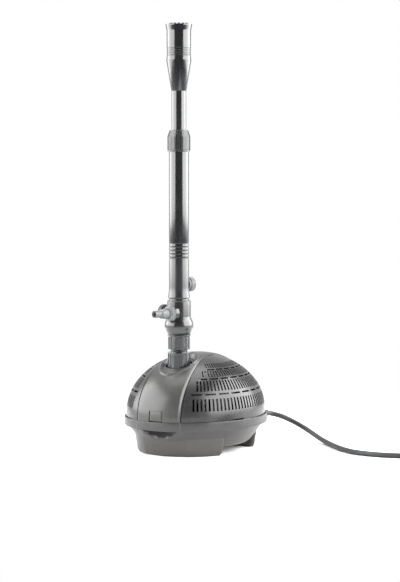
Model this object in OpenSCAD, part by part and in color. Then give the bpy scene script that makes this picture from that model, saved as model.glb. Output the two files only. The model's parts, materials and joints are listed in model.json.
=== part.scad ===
// Fountain pump: a slotted pump base with a swivelling, telescopic riser.
// Millimetres. The origin is on the floor under the middle of the base, front is -Y.

/* [Base] */
// Width of the base across its rim
base_w = 185.2; // [165:0.1:210]
// Length of the base, front to back, across its rim
base_l = 228.8; // [205:0.1:260]
// Height of the seam between base and cover
seam_h = 48.5; // [44:0.5:56]
// Height of the rim band below the seam
rim_h = 12; // [10:0.5:15]
// Height of the bowl's underside above the floor
bowl_lift = 10; // [7:0.5:14]
// Wall of the base
base_wall = 2.6; // [2:0.1:3.4]
// Open length of the side arch between the two feet
arch_l = 92; // [70:1:120]
// Width of a foot's ring
foot_w = 14; // [12:0.5:20]
// Wall of a foot
foot_wall = 3; // [2:0.1:4]
// Width of the finger scoop under the front rim
scoop_w = 44; // [30:1:56]
// Depth of the finger scoop
scoop_depth = 6; // [3:0.5:9]
// Gap between pieces that lie against each other
seat_gap = 0.3; // [0.2:0.05:0.5]

/* [Cover] */
// Ledge of the base's rim that shows all round the cover's foot
cover_inset = 2.3; // [1.5:0.1:3]
// Rise of the cover's dome above its straight foot
cover_rise = 79; // [74:0.5:90]
// Straight height of the cover above the seam
cover_foot = 4; // [3:0.5:8]
// Wall of the cover
cover_wall = 2.4; // [2:0.1:3]
// Slots in each full row on one side
slot_count = 36; // [24:2:36]
// Width of the short dashes between the slot rows
dash_w = 2.3; // [1.5:0.1:3]
// Length of a dash
dash_l = 15; // [10:0.5:18]
// Width of the pry notch in the cover's lower edge
notch_w = 26; // [12:0.5:32]
// Height of the pry notch
notch_h = 2.4; // [1:0.1:4]

/* [Saddle cover] */
// Width of the saddle at the front and back rim
saddle_w = 66; // [56:1:80]
// Width of the saddle where it is narrowest
saddle_waist_w = 34; // [28:1:44]
// Distance of the narrowest place behind the middle of the base
saddle_waist_back = 18; // [10:1:30]
// How far the saddle stands above the cages
saddle_proud = 1.8; // [1:0.1:3]
// Dark seam between saddle and cage
saddle_seam = 0.8; // [0.5:0.1:1.5]
// Depth of the dish round the outlet
dish_depth = 4; // [3:0.2:6]
// Width of the dish's round bottom if it were a full ellipsoid
dish_w = 88; // [70:1:100]
// Length of the dish's round bottom if it were a full ellipsoid
dish_l = 116; // [100:1:130]
// Diameter of the outlet hole in the dish
dish_hole_d = 38; // [34:0.5:40]
// Width of the front latch
latch_w = 19; // [14:0.5:26]
// Height of the front latch
latch_h = 14; // [10:0.5:18]

/* [Pump] */
// Diameter of the motor housing
motor_d = 62; // [60:0.5:66]
// Length of the motor housing
motor_l = 72; // [72:1:80]
// Wall of the motor housing
motor_wall = 2.5; // [2:0.1:3]
// Height of the motor's axis above the floor
motor_h = 58; // [57:0.5:62]
// Sideways offset of the motor's axis from the riser
motor_offset = 13; // [10:0.5:16]
// Diameter of the ceramic shaft
shaft_d = 4; // [3:0.1:5]
// Play of the rotor on its shaft, on the radius
shaft_play = 0.05; // [0.02:0.01:0.1]
// Diameter of the rotor magnet
rotor_d = 23; // [20:0.5:24]
// Length of the rotor magnet
rotor_l = 32; // [26:0.5:34]
// Diameter of the impeller
impeller_d = 38; // [30:0.5:42]
// Number of impeller vanes
vane_count = 6; // [4:1:8]
// Outside diameter of the volute housing
volute_d = 54; // [50:0.5:58]
// Length of the volute housing along the motor's axis
volute_l = 24; // [22:0.5:28]
// Outside diameter of the pump's outlet pipe
pipe_d = 24; // [20:0.5:24]
// Wall of the pump's outlet pipe
pipe_wall = 3; // [2:0.1:4]

/* [Ball joint] */
// Distance of the riser's axis in front of the middle of the base
riser_forward = 48.5; // [44:0.5:54]
// Height of the ball joint's centre above the floor
ball_h = 172.5; // [165:0.5:190]
// Diameter of the bulb on the tee
bulb_d = 39; // [38:0.5:44]
// Wall of the bulb
bulb_wall = 3.5; // [3:0.1:4.5]
// How far the riser tilts on the ball, in degrees
ball_tilt = 10; // [4:1:11]
// Diameter of the union nut's ribs
nut_d = 29.6; // [28:0.1:32]
// Diameter of the union nut's top lip
nut_lip_d = 31.8; // [30:0.1:33]
// Length of the union nut
nut_l = 22; // [20:0.5:26]
// Diameter of the ribbed outlet adapter
adapter_d = 31; // [28:0.5:31.5]
// Length of the outlet adapter's ribbed part
adapter_l = 39; // [34:0.5:44]
// Diameter of the adapter's threaded neck
neck_d = 22; // [20:0.5:22.5]
// Length of neck that shows between adapter and union nut
neck_show = 4; // [2:0.5:8]
// Number of ribs on the adapter and the union nut
rib_count = 14; // [10:1:20]

/* [Riser] */
// Diameter of the tee's barrel
tee_d = 32; // [31:0.5:36]
// Height of the tee's shoulder above the ball's centre
tee_rise = 32.5; // [30:0.5:40]
// Length of the waist between tee and riser socket
waist_l = 4.5; // [3:0.5:8]
// Outside diameter of the riser socket and the lower tube
lower_d = 27; // [26:0.5:30]
// Diameter of the riser socket's flared foot
socket_foot_d = 29.6; // [29:0.1:32]
// Length of the riser socket
socket_l = 53.5; // [48:0.5:65]
// Length of lower tube that shows between socket and collar
lower_l = 144; // [120:1:180]
// Wall of the lower tube
lower_wall = 3.1; // [2.9:0.1:3.3]
// Number of grooves round the lower tube's foot
groove_count = 5; // [2:1:8]
// Spacing of those grooves
groove_pitch = 4.8; // [3:0.1:6]
// Diameter of the lock collar
collar_d = 31; // [30:0.5:36]
// Length of the lock collar
collar_l = 29; // [26:0.5:36]
// Number of fine ribs on the lock collar
collar_ribs = 40; // [20:2:48]
// Diameter of the telescopic upper tube
upper_d = 20; // [19:0.1:20]
// Wall of the upper tube
upper_wall = 1.8; // [1.5:0.1:2.4]
// Length of upper tube that shows at rest
upper_show = 52; // [51:1:100]
// Length of upper tube hidden in the lower tube at rest
upper_hidden = 136; // [100:1:140]

/* [Nozzle] */
// Length of the nozzle head
nozzle_l = 89; // [80:1:110]
// Diameter of the nozzle's barrel
nozzle_d = 33; // [30:0.5:38]
// Diameter of the nozzle's lip
nozzle_lip_d = 36; // [34:0.5:42]
// Wall of the nozzle
nozzle_wall = 1.8; // [1.4:0.1:2.4]
// Jets in the nozzle's outer ring
jet_count = 12; // [8:1:14]
// Diameter of a jet tube
jet_d = 3.4; // [2.6:0.1:4]
// Bore of a jet tube
jet_bore = 1.8; // [1:0.1:2.2]

/* [Side outlet] */
// Height of the side outlet above the ball's centre
outlet_rise = 17.5; // [16.5:0.5:20]
// Turn of the side outlet from the front towards the left, in degrees
outlet_turn = 23; // [0:1:45]
// Sideways offset of the side outlet from the riser's axis
outlet_offset = 4.7; // [0:0.1:5]
// Diameter of the outlet nut's back
outlet_nut_d = 22.4; // [21:0.1:24]
// Thickness of the outlet nut
outlet_nut_l = 8; // [7:0.5:10]
// Diameter of the hose barb's root
barb_root_d = 13.5; // [12:0.1:14]
// Diameter of the hose barb's tip
barb_tip_d = 9.6; // [8.6:0.1:11]
// Bore of the hose barb
barb_bore = 6.8; // [5:0.1:7.4]
// Reach of the hose barb from the riser's axis
barb_reach = 46; // [42:0.5:60]
// Diameter of the side regulator's knob
side_knob_d = 20; // [16:0.5:22]
// Reach of the side regulator's knob from the riser's axis
side_knob_reach = 32; // [28:0.5:38]
// Diameter of the riser regulator's knob
riser_knob_d = 19.6; // [16:0.1:22]
// Reach of the riser regulator's knob from the riser's axis
riser_knob_reach = 22.4; // [21:0.1:28]
// Thickness of both regulator knobs
knob_t = 7; // [5:0.5:7.5]

/* [Cable] */
// Diameter of the cable
cable_d = 7; // [6:0.1:7.2]
// Spacing of the coil's turns
coil_pitch = 7.5; // [7.5:0.1:8]
// Radius at the middle of the coil's turns
coil_mid_r = 63; // [56:0.5:64]
// Length of the strain relief outside the base
boot_l = 26; // [20:1:26]
// Diameter of the plug's face
plug_d = 38; // [34:0.5:39]
// Length of the plug's body
plug_l = 34; // [28:0.5:44]
// Diameter of a plug pin
pin_d = 4.8; // [4:0.1:5]
// Length of a plug pin
pin_l = 19; // [15:0.5:20]
// Spacing of the plug's pins
pin_gap = 19; // [16:0.5:20]

/* [Hidden] */
$fn = 64;

// How far a cut runs past what it cuts.
over = 1;
// How deep one solid runs into another that it is moulded with.
bite = 0.5;

// Base and cover in plan: circles stretched along Y by this ratio.
plan_ratio = base_l / base_w;
base_r = base_w / 2;
cover_w = base_w - 2 * cover_inset;
cover_r = cover_w / 2;
rim_z = seam_h - rim_h;
cover_z = seam_h + seat_gap;
dome_z = seam_h + cover_foot;
saddle_r = cover_r + saddle_proud;

// Bowl outside: share of the rim's radius, share of the height from underside to rim.
bowl_shares = [[0.735, 0], [0.765, 0.083], [0.82, 0.377], [0.875, 0.65], [0.93, 0.906], [0.945, 1]];
// Foot outside: share of the rim's radius, share of the rim's height above the floor.
foot_shares = [[0.8, 0], [0.815, 0.07], [0.86, 0.7]];
tongue_t = 2;
tongue_h = 3;
tongue_play = 0.5;
scoop_height_share = 0.5;

// Cage slot rows: lower and upper edge as shares of the dome's rise, share of slots left
// out at each end of the row.
slot_rows_shares = [
    [0.13, 0.331, 0], [0.455, 0.617, 0.028], [0.675, 0.765, 0.083], [0.806, 0.868, 0.139]
];
// Dash rows between them: height share of the dome's rise, first dash's angle.
dash_rows_shares = [[0.402, 28], [0.643, 33], [0.782, 46]];
// Rings of the cage's dome, placed between the rows, as shares of the dome's rise.
cage_ring_shares = [0, 0.22, 0.435, 0.625, 0.7695, 0.885, 0.96, 1];
slot_fan_angle = 120;
slot_pitch_angle = slot_fan_angle / slot_count;
slot_width_share = 0.48;
slot_end_h = 0.1;
dash_gap_share = 0.3;
notch_angle = 69.7;
notch_sink = 1;
// Two slots to a facet, so that the facets' edges run along the bars.
cage_facets = 180 / slot_pitch_angle;
plan_steps = 16;
saddle_front_run = 125;
saddle_back_run = 89;

// Latch hinge line, at the inner top edge of the latch.
latch_play = 0.5;
latch_top_z = seam_h + latch_h;
latch_bottom_z = seam_h + 3 * seat_gap;
latch_run = 0.6 * base_l;
nib_t = 2;
nib_drop = 4.5;

// Motor, rotor and volute, all turned about an axis along Y.
riser_y = -riser_forward;
volute_front = riser_y - volute_l / 2;
volute_back = riser_y + volute_l / 2;
volute_wall = 2.6;
motor_front = volute_back + seat_gap;
motor_back = motor_front + motor_l;
can_wall = 1.5;
can_play = 1;
can_r = rotor_d / 2 + can_play;
rotor_front = motor_front + 1.2;
rotor_back = rotor_front + rotor_l;
bush_r = shaft_d / 2 + 2.4;
bush_l = 4;
bush_wall = 2;
rear_bush_front = rotor_back + can_play;
can_end = rear_bush_front + bush_l;
cap_t = 3;
cap_boss_l = 6;
core_w = 38;
core_h = 20;
core_leg = 10;
core_play = 0.3;
coil_wall = 4;
plate_t = 3;
plate_w = 60;
post_d = 9;
motor_screw_d = 4;
screw_play = 0.2;
inlet_d = 22;
inlet_wall = 3;
inlet_l = 10;
cover_t = 3;
lug_d = 8;
volute_screw_d = 3;
seal_t = 1.6;
spider_w = 3;
impeller_gap = 2;
impeller_disc_t = 1.6;
vane_t = 1.6;

// Ball joint heights, from the ball's centre down to the pump.
bulb_r = bulb_d / 2;
socket_r = bulb_r - bulb_wall;
ball_r = socket_r - seat_gap;
mouth_r = socket_r * 0.8125;
tilt_gap = 0.5;
stem_r = (bulb_r * sin(asin(mouth_r / bulb_r) - ball_tilt)) - tilt_gap;
stem_bore_r = stem_r - 2.3;
nut_top = ball_h - bulb_r / 2;
nut_bottom = nut_top - nut_l;
adapter_top = nut_bottom - neck_show;
adapter_bottom = adapter_top - adapter_l;
adapter_socket = 8;
adapter_play = 0.2;
pipe_top = adapter_bottom + adapter_socket - seat_gap;
thread_t = 0.9;
thread_pitch = 2;
flange_t = 2;
flange_z = nut_bottom + nut_l * 0.43;
flange_r = neck_d / 2 + 0.8;
seal_flat_t = 1.2;
neck_top = flange_z - seal_flat_t - 2 * seat_gap;
nut_bore_r = neck_d / 2 + thread_t + seat_gap;
nut_lip_l = 2.6;
rib_depth = 0.9;
ball_seal_r = 1;

// Tee and side outlet.
tee_top = ball_h + tee_rise;
tee_bore_r = 10;
outlet_z = ball_h + outlet_rise;
outlet_nut_back = tee_d / 2 - 0.2;
stub_r = 8.5;
stub_bore_r = 4.5;
stub_end = outlet_nut_back + 3.6;
barb_flange_t = 1.4;
barb_flange_r = 8.2;
barb_flange_x = stub_end + seat_gap;
barb_step_x = barb_reach - 15;
nut_thread_play = 0.3;
barb_ridge = 0.5;
barb_ridge_l = 4.5;
side_valve_x = 2.5;
side_valve_r = 5;
side_valve_end = 6;
stem_d = 6;
side_boss_r = 6.5;
side_boss_end = 22;
knurl_count = 24;
knurl_depth = 0.7;

// Riser heights, upwards.
socket_z = tee_top + waist_l;
socket_top = socket_z + socket_l;
socket_flare_l = 11;
socket_bore_r = 10.2;
spigot_r = 11.6;
spigot_l = 20;
spigot_play = 0.1;
riser_valve_z = socket_z + 18.5;
riser_valve_r = 9;
valve_t = 2;
riser_boss_r = 7;
lower_r = lower_d / 2;
lower_bore_r = lower_r - lower_wall;
groove_w = 1.4;
groove_depth = 0.7;
collar_z = socket_top + lower_l;
collar_top = collar_z + collar_l;
collar_chamfer_l = 9;
collar_chamfer = 2.8;
lower_top = collar_top - 9;
clamp_t = 5;
clamp_play = 0.05;
clamp_split = 1.2;
tube_play = 0.4;
upper_r = upper_d / 2;
nozzle_z = collar_top + upper_show;
nozzle_top = nozzle_z + nozzle_l;
tube_spigot_l = 12;
tube_spigot_r = upper_r - 0.4;
nozzle_lip_l = 7;
// Nozzle grooves: share of the nozzle's length above its foot.
nozzle_groove_shares = [0.539, 0.572, 0.613, 0.645];
nozzle_flare_share = 0.494;
nozzle_flare = 0.6;
jet_plate_t = 3;
jet_plate_drop = 11;
jet_proud = 1.5;
jet_ring_share = 0.78;

// Cable gland, on the rim band at the right of the back.
gland_place_angle = 21;
gland_pitch = 10;
gland_r = 4.8;
gland_play = 0.2;
gland_flange_r = 6.4;
gland_flange_t = 2;
gland_in_l = 7.5;
gland_nut_r = 5.6;
gland_nut_t = 2.5;
boot_start = seat_gap + gland_flange_t;
boot_tip_r = cable_d / 2 + 1;
gland_x = base_r * sin(gland_place_angle);
gland_y = base_r * plan_ratio * cos(gland_place_angle);
gland_z = rim_z + rim_h * 0.42;
gland_turn = atan2(gland_y / pow(plan_ratio, 2), gland_x);
gland_dir = [
    cos(gland_turn) * cos(gland_pitch), sin(gland_turn) * cos(gland_pitch), -sin(gland_pitch)
];
gland_at = [gland_x, gland_y, gland_z];
cable_r = cable_d / 2;

// The free cable's route, from the strain relief to the coil.
cable_sides = 8;
coil_sides = 6;
cable_points = [
    [60, 143, 32], [74, 150, 25], [92, 150, 17], [110, 143, 10], [126, 131, 6],
    [142, 116, 4], [156, 101, 3.5], [170, 86, 3.5], [184, 71, 3.5], [199, 58, 3.5],
    [216, 47, 3.5], [235, 41, 3.5], [254, 39, 3.5], [273, 41, 3.5], [291, 46, 3.5],
    [308, 53, 3.5], [324, 61, 3.5]
];
// The lead inside the base: steps of its curve, and how far each end's direction reaches.
lead_steps = 6;
lead_pull = 16;
// The coil: turns wound clockwise, two layers in and two layers out.
coil_x = 403;
coil_y = 6;
coil_start_angle = 125;
layer_turns = 6;
layer_count = 4;
rings_per_turn = 24;
coil_outer_r = coil_mid_r + coil_pitch * layer_turns / 2;
coil_inner_r = coil_mid_r - coil_pitch * layer_turns / 2;
// The tail, from the coil's last turn to the plug.
tail_drop_y = 40;
plug_z = plug_d / 2;
plug_boot_l = 26;
grip_shares = [[1, 0], [1, 0.24], [0.82, 0.4], [0.74, 0.62], [0.8, 0.88], [0.72, 1]];

module oval() {
    scale([1, plan_ratio, 1])
        children();
}

module turned(points) {
    rotate_extrude()
        polygon(points);
}

// A shape drawn along Z is laid along +Y, from y = 0, at the motor's axis.
module on_motor_axis(y = 0) {
    translate([motor_offset, y, motor_h])
        rotate([-90, 0, 0])
            children();
}

module on_riser(z = 0) {
    translate([0, riser_y, z])
        children();
}

// Local +X is the side outlet's direction, -Y the side knob's, -X the riser knob's.
module on_outlet(z) {
    on_riser(z)
        rotate([0, 0, -90 - outlet_turn])
            children();
}

module ring(outer_r, inner_r, h) {
    difference() {
        cylinder(r = outer_r, h = h);
        translate([0, 0, -over])
            cylinder(r = inner_r, h = h + 2 * over);
    }
}

// A straight-ribbed cylinder: flat-topped ribs over an equal count of flutes.
module ribbed(r, h, ribs, depth) {
    step = 360 / ribs;
    linear_extrude(h)
        polygon([
            for (i = [0 : ribs - 1])
                for (c = [[-0.26, r], [0.26, r], [0.36, r - depth], [0.64, r - depth]])
                    c[1] * [cos((i + c[0]) * step), sin((i + c[0]) * step)]
        ]);
}

function unit(v) = v / norm(v);

function tube_rings(path, r, sides) = [
    for (i = [0 : len(path) - 1])
        let (
            along = unit(path[min(i + 1, len(path) - 1)] - path[max(i - 1, 0)]),
            side = unit(cross(along, [0, 0, 1])),
            up = cross(side, along)
        )
        for (k = [0 : sides - 1])
            path[i] + r * (sin(360 * k / sides) * side - cos(360 * k / sides) * up)
];

function tube_faces(count, sides) = [
    for (i = [0 : count - 2])
        for (k = [0 : sides - 1])
            let (a = i * sides + k, b = i * sides + (k + 1) % sides)
            each [[a, a + sides, b], [b, a + sides, b + sides]],
    for (k = [1 : sides - 2])
        each [[0, k, k + 1], [(count - 1) * sides, (count - 1) * sides + k + 1, (count - 1) * sides + k]]
];

module tube_along(path, r, sides) {
    polyhedron(tube_rings(path, r, sides), tube_faces(len(path), sides));
}

// Half-width of the saddle at a distance y along the base.
function saddle_half(y) =
    let (
        run = y < saddle_waist_back ? saddle_front_run : saddle_back_run,
        t = min(abs(y - saddle_waist_back) / run, 1),
        blend = sin(90 * t) / 2 + (1 - cos(180 * t)) / 4
    )
    (saddle_waist_w + (saddle_w - saddle_waist_w) * blend) / 2;

plan_reach = base_l / 2 + base_wall;

function saddle_edge(side, gap) = [
    for (i = [0 : 2 * plan_steps])
        let (y = plan_reach * (i / plan_steps - 1))
        [side * (saddle_half(y) + gap), y / plan_ratio]
];

function bowl_z(share) = bowl_lift + share * (rim_z - bowl_lift);

module bowl_outside() {
    turned([
        [0, bowl_lift],
        for (s = bowl_shares) [s[0] * base_r, bowl_z(s[1])],
        [base_r, rim_z], [base_r, seam_h], [0, seam_h]
    ]);
}

module bowl_inside() {
    floor_z = bowl_lift + base_wall;
    last = bowl_shares[len(bowl_shares) - 1];
    turned([
        [0, floor_z],
        for (s = bowl_shares) [s[0] * base_r - base_wall, max(bowl_z(s[1]), floor_z)],
        [last[0] * base_r - base_wall, rim_z + base_wall],
        [base_r - base_wall, rim_z + base_wall],
        [base_r - base_wall, seam_h + over], [0, seam_h + over]
    ]);
}

module both_ends(inset) {
    for (end = [0, 1])
        mirror([0, end, 0])
            translate([-base_r, arch_l / 2 / plan_ratio + inset, -bite - over])
                cube([base_w, base_r, seam_h]);
}

module feet() {
    outer_r = foot_shares[0][0] * base_r;
    intersection() {
        turned([
            [outer_r, -bite],
            for (s = foot_shares) [s[0] * base_r, s[1] * rim_z],
            [outer_r - foot_w, foot_shares[2][1] * rim_z],
            [outer_r - foot_w, -bite]
        ]);
        both_ends(0);
    }
}

module foot_pockets() {
    outer_r = foot_shares[0][0] * base_r;
    intersection() {
        translate([0, 0, -over])
            ring(outer_r - foot_wall, outer_r - foot_w + foot_wall, bowl_lift - foot_wall + over);
        both_ends(foot_wall);
    }
}

module tongue() {
    tongue_r = cover_r - cover_wall - tongue_play;
    turned([
        [tongue_r - tongue_t, seam_h - tongue_t],
        [base_r - base_wall + bite, seam_h - tongue_t],
        [base_r - base_wall + bite, seam_h],
        [tongue_r, seam_h],
        [tongue_r, seam_h + tongue_h],
        [tongue_r - tongue_t, seam_h + tongue_h]
    ]);
}

// The finger scoop: half an ellipsoid under the rim, wall thicker by grow.
module scoop(grow) {
    scoop_r = (pow(scoop_w / 2, 2) + pow(scoop_depth, 2)) / (2 * scoop_depth);
    scoop_y = -bowl_shares[3][0] * base_l / 2 - scoop_r + scoop_depth;
    intersection() {
        translate([0, scoop_y, rim_z])
            scale([1, 1, scoop_height_share])
                sphere(r = scoop_r + grow);
        translate([-scoop_w, -base_l, bowl_lift])
            cube([2 * scoop_w, base_l, rim_z - bowl_lift - (grow > 0 ? 0 : base_wall / 2)]);
    }
}

module on_gland() {
    translate(gland_at)
        rotate([0, 0, gland_turn])
            rotate([0, 90 + gland_pitch, 0])
                children();
}

module base_shell() {
    post_top = motor_h - motor_d / 2 - plate_t - seat_gap;
    floor_z = bowl_lift + base_wall - bite;
    color("dimgray")
        difference() {
            union() {
                oval()
                    difference() {
                        union() {
                            bowl_outside();
                            feet();
                        }
                        bowl_inside();
                        foot_pockets();
                    }
                oval()
                    difference() {
                        tongue();
                        translate([-latch_w / 2 - over, -base_r, seam_h - tongue_t - over])
                            cube([latch_w + 2 * over, base_r / 2, tongue_t + tongue_h + 2 * over]);
                    }
                motor_places()
                    translate([0, 0, floor_z])
                        cylinder(d = post_d, h = post_top - floor_z);
                intersection() {
                    scoop(base_wall);
                    oval()
                        bowl_outside();
                }
            }
            scoop(0);
            translate([-base_w, -base_l, -seam_h])
                cube([2 * base_w, 2 * base_l, seam_h]);
            on_gland() {
                translate([0, 0, -gland_in_l - over])
                    cylinder(r = gland_r + gland_play, h = 2 * gland_in_l);
                cylinder(r = gland_flange_r + gland_play, h = gland_in_l);
                translate([0, 0, -gland_in_l - cable_r])
                    cylinder(r = gland_nut_r + seat_gap, h = gland_nut_t + cable_r + seat_gap);
            }
            motor_places()
                translate([0, 0, post_top - 2 * motor_screw_d])
                    cylinder(d = motor_screw_d + 2 * screw_play, h = 2 * motor_screw_d + over);
        }
}

module cable_gland() {
    color("#26282b")
        on_gland()
            turned([
                [0, -gland_in_l],
                [gland_nut_r, -gland_in_l],
                [gland_nut_r, -gland_in_l + gland_nut_t],
                [gland_r, -gland_in_l + gland_nut_t],
                [gland_r, seat_gap],
                [gland_flange_r, seat_gap],
                [gland_flange_r, boot_start],
                [0, boot_start]
            ]);
}

// The sleeve that bends with the cable, from the gland's flange outwards.
module cable_boot() {
    color("#26282b")
        on_gland()
            turned([
                [0, boot_start],
                [gland_r + base_wall / 4, boot_start],
                [boot_tip_r, boot_l],
                [0, boot_l]
            ]);
}

module inner_lead() {
    start = [motor_offset, motor_back + cap_t + seat_gap + cap_boss_l, motor_h];
    end = gland_at - gland_in_l * gland_dir;
    a = start + [0, cable_r, 0];
    d = end - cable_d * gland_dir;
    b = a + [0, lead_pull, 0];
    c = d - lead_pull * gland_dir;
    curve = [
        for (i = [0:lead_steps])
            let (t = i / lead_steps, u = 1 - t)
                pow(u, 3) * a + 3 * u * u * t * b + 3 * u * t * t * c + pow(t, 3) * d
    ];
    color("#303236")
        tube_along(concat([start], curve, [end]), cable_r, cable_sides);
}

// The four places where screws hold the motor's plate on the base.
module motor_places() {
    for (x = [-1, 1])
        for (y = [-1, 1])
            translate([
                motor_offset + x * (plate_w / 2 - post_d / 2),
                (motor_front + motor_back) / 2 + y * (motor_l / 2 - post_d),
                0
            ])
                children();
}

module motor_housing() {
    plate_z = motor_h - motor_d / 2 - plate_t;
    motor_r = motor_d / 2;
    color("#2f3236")
        difference() {
            union() {
                on_motor_axis(motor_front)
                    cylinder(d = motor_d, h = motor_l);
                translate([motor_offset - plate_w / 2, motor_front, plate_z])
                    cube([plate_w, motor_l, plate_t]);
                translate([motor_offset - motor_r / 2, motor_front, plate_z])
                    cube([motor_r, motor_l, motor_r / 2]);
            }
            on_motor_axis(motor_front)
                difference() {
                    translate([0, 0, motor_wall])
                        cylinder(r = motor_r - motor_wall, h = motor_l);
                    cylinder(r = can_r + can_wall, h = can_end + can_wall - motor_front);
                }
            on_motor_axis(motor_front - over)
                cylinder(r = can_r, h = rear_bush_front - motor_front + over);
            on_motor_axis(motor_front)
                cylinder(r = bush_r + seat_gap / 3, h = can_end - motor_front);
            motor_places()
                translate([0, 0, plate_z - over])
                    cylinder(d = motor_screw_d + 2 * screw_play, h = plate_t + 2 * over);
        }
}

module motor_end_cap() {
    color("#24272a")
        union() {
            on_motor_axis(motor_back + seat_gap)
                cylinder(d = motor_d, h = cap_t);
            on_motor_axis(motor_back - cap_t)
                cylinder(r = motor_d / 2 - motor_wall - seat_gap, h = 2 * cap_t);
            on_motor_axis(motor_back)
                cylinder(r = cable_d, h = cap_t + seat_gap + cap_boss_l);
        }
}

module motor_screws() {
    plate_top = motor_h - motor_d / 2;
    screw_l = plate_t + 1.5 * motor_screw_d;
    color("silver")
        motor_places()
            translate([0, 0, plate_top]) {
                translate([0, 0, -screw_l])
                    cylinder(d = motor_screw_d, h = screw_l + bite);
                difference() {
                    cylinder(d = 2 * motor_screw_d, h = motor_screw_d / 2);
                    translate([0, 0, motor_screw_d / 4])
                        cylinder(d = motor_screw_d, h = motor_screw_d, $fn = 6);
                }
            }
}

core_front = motor_front + motor_wall + core_play;
core_back = motor_back - cap_t - 2 * core_play;
winding_front = can_end + can_wall + 2;
winding_back = core_back - core_leg + coil_wall / 2;

module stator_core() {
    color("slategray")
        on_motor_axis()
            difference() {
                union() {
                    for (side = [-1, 1])
                        translate([side * (core_w - core_leg) / 2, 0, (core_front + core_back) / 2])
                            cube([core_leg, core_h, core_back - core_front], center = true);
                    translate([0, 0, core_back - core_leg / 4])
                        cube([core_w, core_h, core_leg / 2], center = true);
                }
                translate([0, 0, core_front - over])
                    cylinder(r = can_r + can_wall + core_play, h = winding_front - core_front + over);
            }
}

module stator_coils() {
    color("#b5672c")
        on_motor_axis()
            for (side = [-1, 1])
                translate([side * (core_w - core_leg) / 2, 0, (winding_front + winding_back) / 2])
                    difference() {
                        cube([
                            core_leg + 2 * coil_wall, core_h + 2 * coil_wall,
                            winding_back - winding_front - coil_wall
                        ], center = true);
                        cube([
                            core_leg + 2 * core_play, core_h + 2 * core_play, core_back
                        ], center = true);
                    }
}

module rotor_magnet() {
    color("#3b3b3f")
        on_motor_axis(rotor_front)
            ring(rotor_d / 2, shaft_d / 2 + shaft_play, rotor_l);
}

impeller_front = volute_front + impeller_gap;

module impeller() {
    impeller_r = impeller_d / 2;
    hub_r = shaft_d;
    disc_y = volute_back - volute_wall - impeller_gap;
    color("#4a4d52")
        difference() {
            union() {
                on_motor_axis(disc_y)
                    cylinder(r = impeller_r, h = impeller_disc_t);
                on_motor_axis(impeller_front)
                    cylinder(r = hub_r, h = rotor_front - impeller_front);
                on_motor_axis(impeller_front)
                    for (i = [0 : vane_count - 1])
                        rotate([0, 0, 360 * i / vane_count])
                            translate([hub_r - bite, -vane_t / 2, 0])
                                cube([impeller_r - hub_r, vane_t, disc_y - impeller_front + bite]);
            }
            on_motor_axis(impeller_front - over)
                cylinder(r = shaft_d / 2 + shaft_play, h = volute_l + motor_l);
        }
}

front_bush_y = volute_front - cover_t;

module pump_shaft() {
    color("ivory")
        on_motor_axis(front_bush_y)
            cylinder(d = shaft_d, h = can_end - front_bush_y);
}

module bush(y) {
    color("#1d1e20")
        on_motor_axis(y)
            ring(bush_r, shaft_d / 2, bush_l);
}

module front_bush() {
    bush(front_bush_y);
}

module rear_bush() {
    bush(rear_bush_front);
}

lug_ring_r = volute_d / 2 + lug_d / 4;

// The three lugs that hold the volute's cover.
module volute_places() {
    for (a = [-20, 70, 200])
        rotate([0, 0, a])
            translate([lug_ring_r, 0, 0])
                children();
}

module volute_housing() {
    volute_r = volute_d / 2;
    seal_r = volute_r - volute_wall;
    color("#2b2e33")
        difference() {
            union() {
                on_motor_axis(volute_front)
                    cylinder(r = volute_r, h = volute_l);
                on_riser(motor_h)
                    cylinder(d = pipe_d, h = pipe_top - motor_h);
                on_motor_axis(volute_front)
                    volute_places()
                        cylinder(d = lug_d, h = volute_l / 2);
            }
            on_motor_axis(volute_front - over)
                cylinder(r = volute_r - volute_wall - seal_t, h = volute_l - volute_wall + over);
            on_motor_axis(volute_front - over)
                cylinder(r = can_r, h = volute_l + 2 * over);
            on_motor_axis(volute_front - over)
                cylinder(r = seal_r, h = seal_t + over);
            on_riser(motor_h)
                cylinder(d = pipe_d - 2 * pipe_wall, h = pipe_top - motor_h + over);
            on_motor_axis(volute_front - over)
                volute_places()
                    cylinder(d = volute_screw_d + 2 * screw_play, h = volute_l / 3);
        }
}

module volute_seal() {
    seal_r = volute_d / 2 - volute_wall;
    color("#111214")
        on_motor_axis(volute_front)
            ring(seal_r - seat_gap / 3, seal_r - seal_t + seat_gap / 3, seal_t - seat_gap / 3);
}

module volute_cover() {
    inlet_r = inlet_d / 2;
    cover_y = volute_front - seat_gap - cover_t;
    color("#2b2e33")
        difference() {
            union() {
                on_motor_axis(cover_y)
                    cylinder(d = volute_d, h = cover_t);
                on_motor_axis(cover_y)
                    volute_places()
                        cylinder(d = lug_d, h = cover_t);
                on_motor_axis(cover_y - inlet_l)
                    cylinder(r = inlet_r, h = inlet_l + bite);
                on_motor_axis(cover_y)
                    cylinder(r = bush_r + bush_wall, h = bush_l + bite);
            }
            difference() {
                on_motor_axis(cover_y - inlet_l - over)
                    cylinder(r = inlet_r - inlet_wall, h = inlet_l + cover_t + bush_l);
                on_motor_axis(cover_y - bush_wall)
                    cylinder(r = bush_r + bush_wall, h = cover_t + 2 * bush_l);
                on_motor_axis(cover_y)
                    for (a = [0, 60, 120])
                        rotate([0, 0, a])
                            translate([-inlet_r, -spider_w / 2, 0])
                                cube([inlet_d, spider_w, cover_t]);
            }
            on_motor_axis(front_bush_y)
                cylinder(r = bush_r + seat_gap / 3, h = 2 * bush_l);
            on_motor_axis(cover_y - over)
                volute_places()
                    cylinder(d = volute_screw_d + 2 * screw_play, h = cover_t + 2 * over);
        }
}

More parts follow.
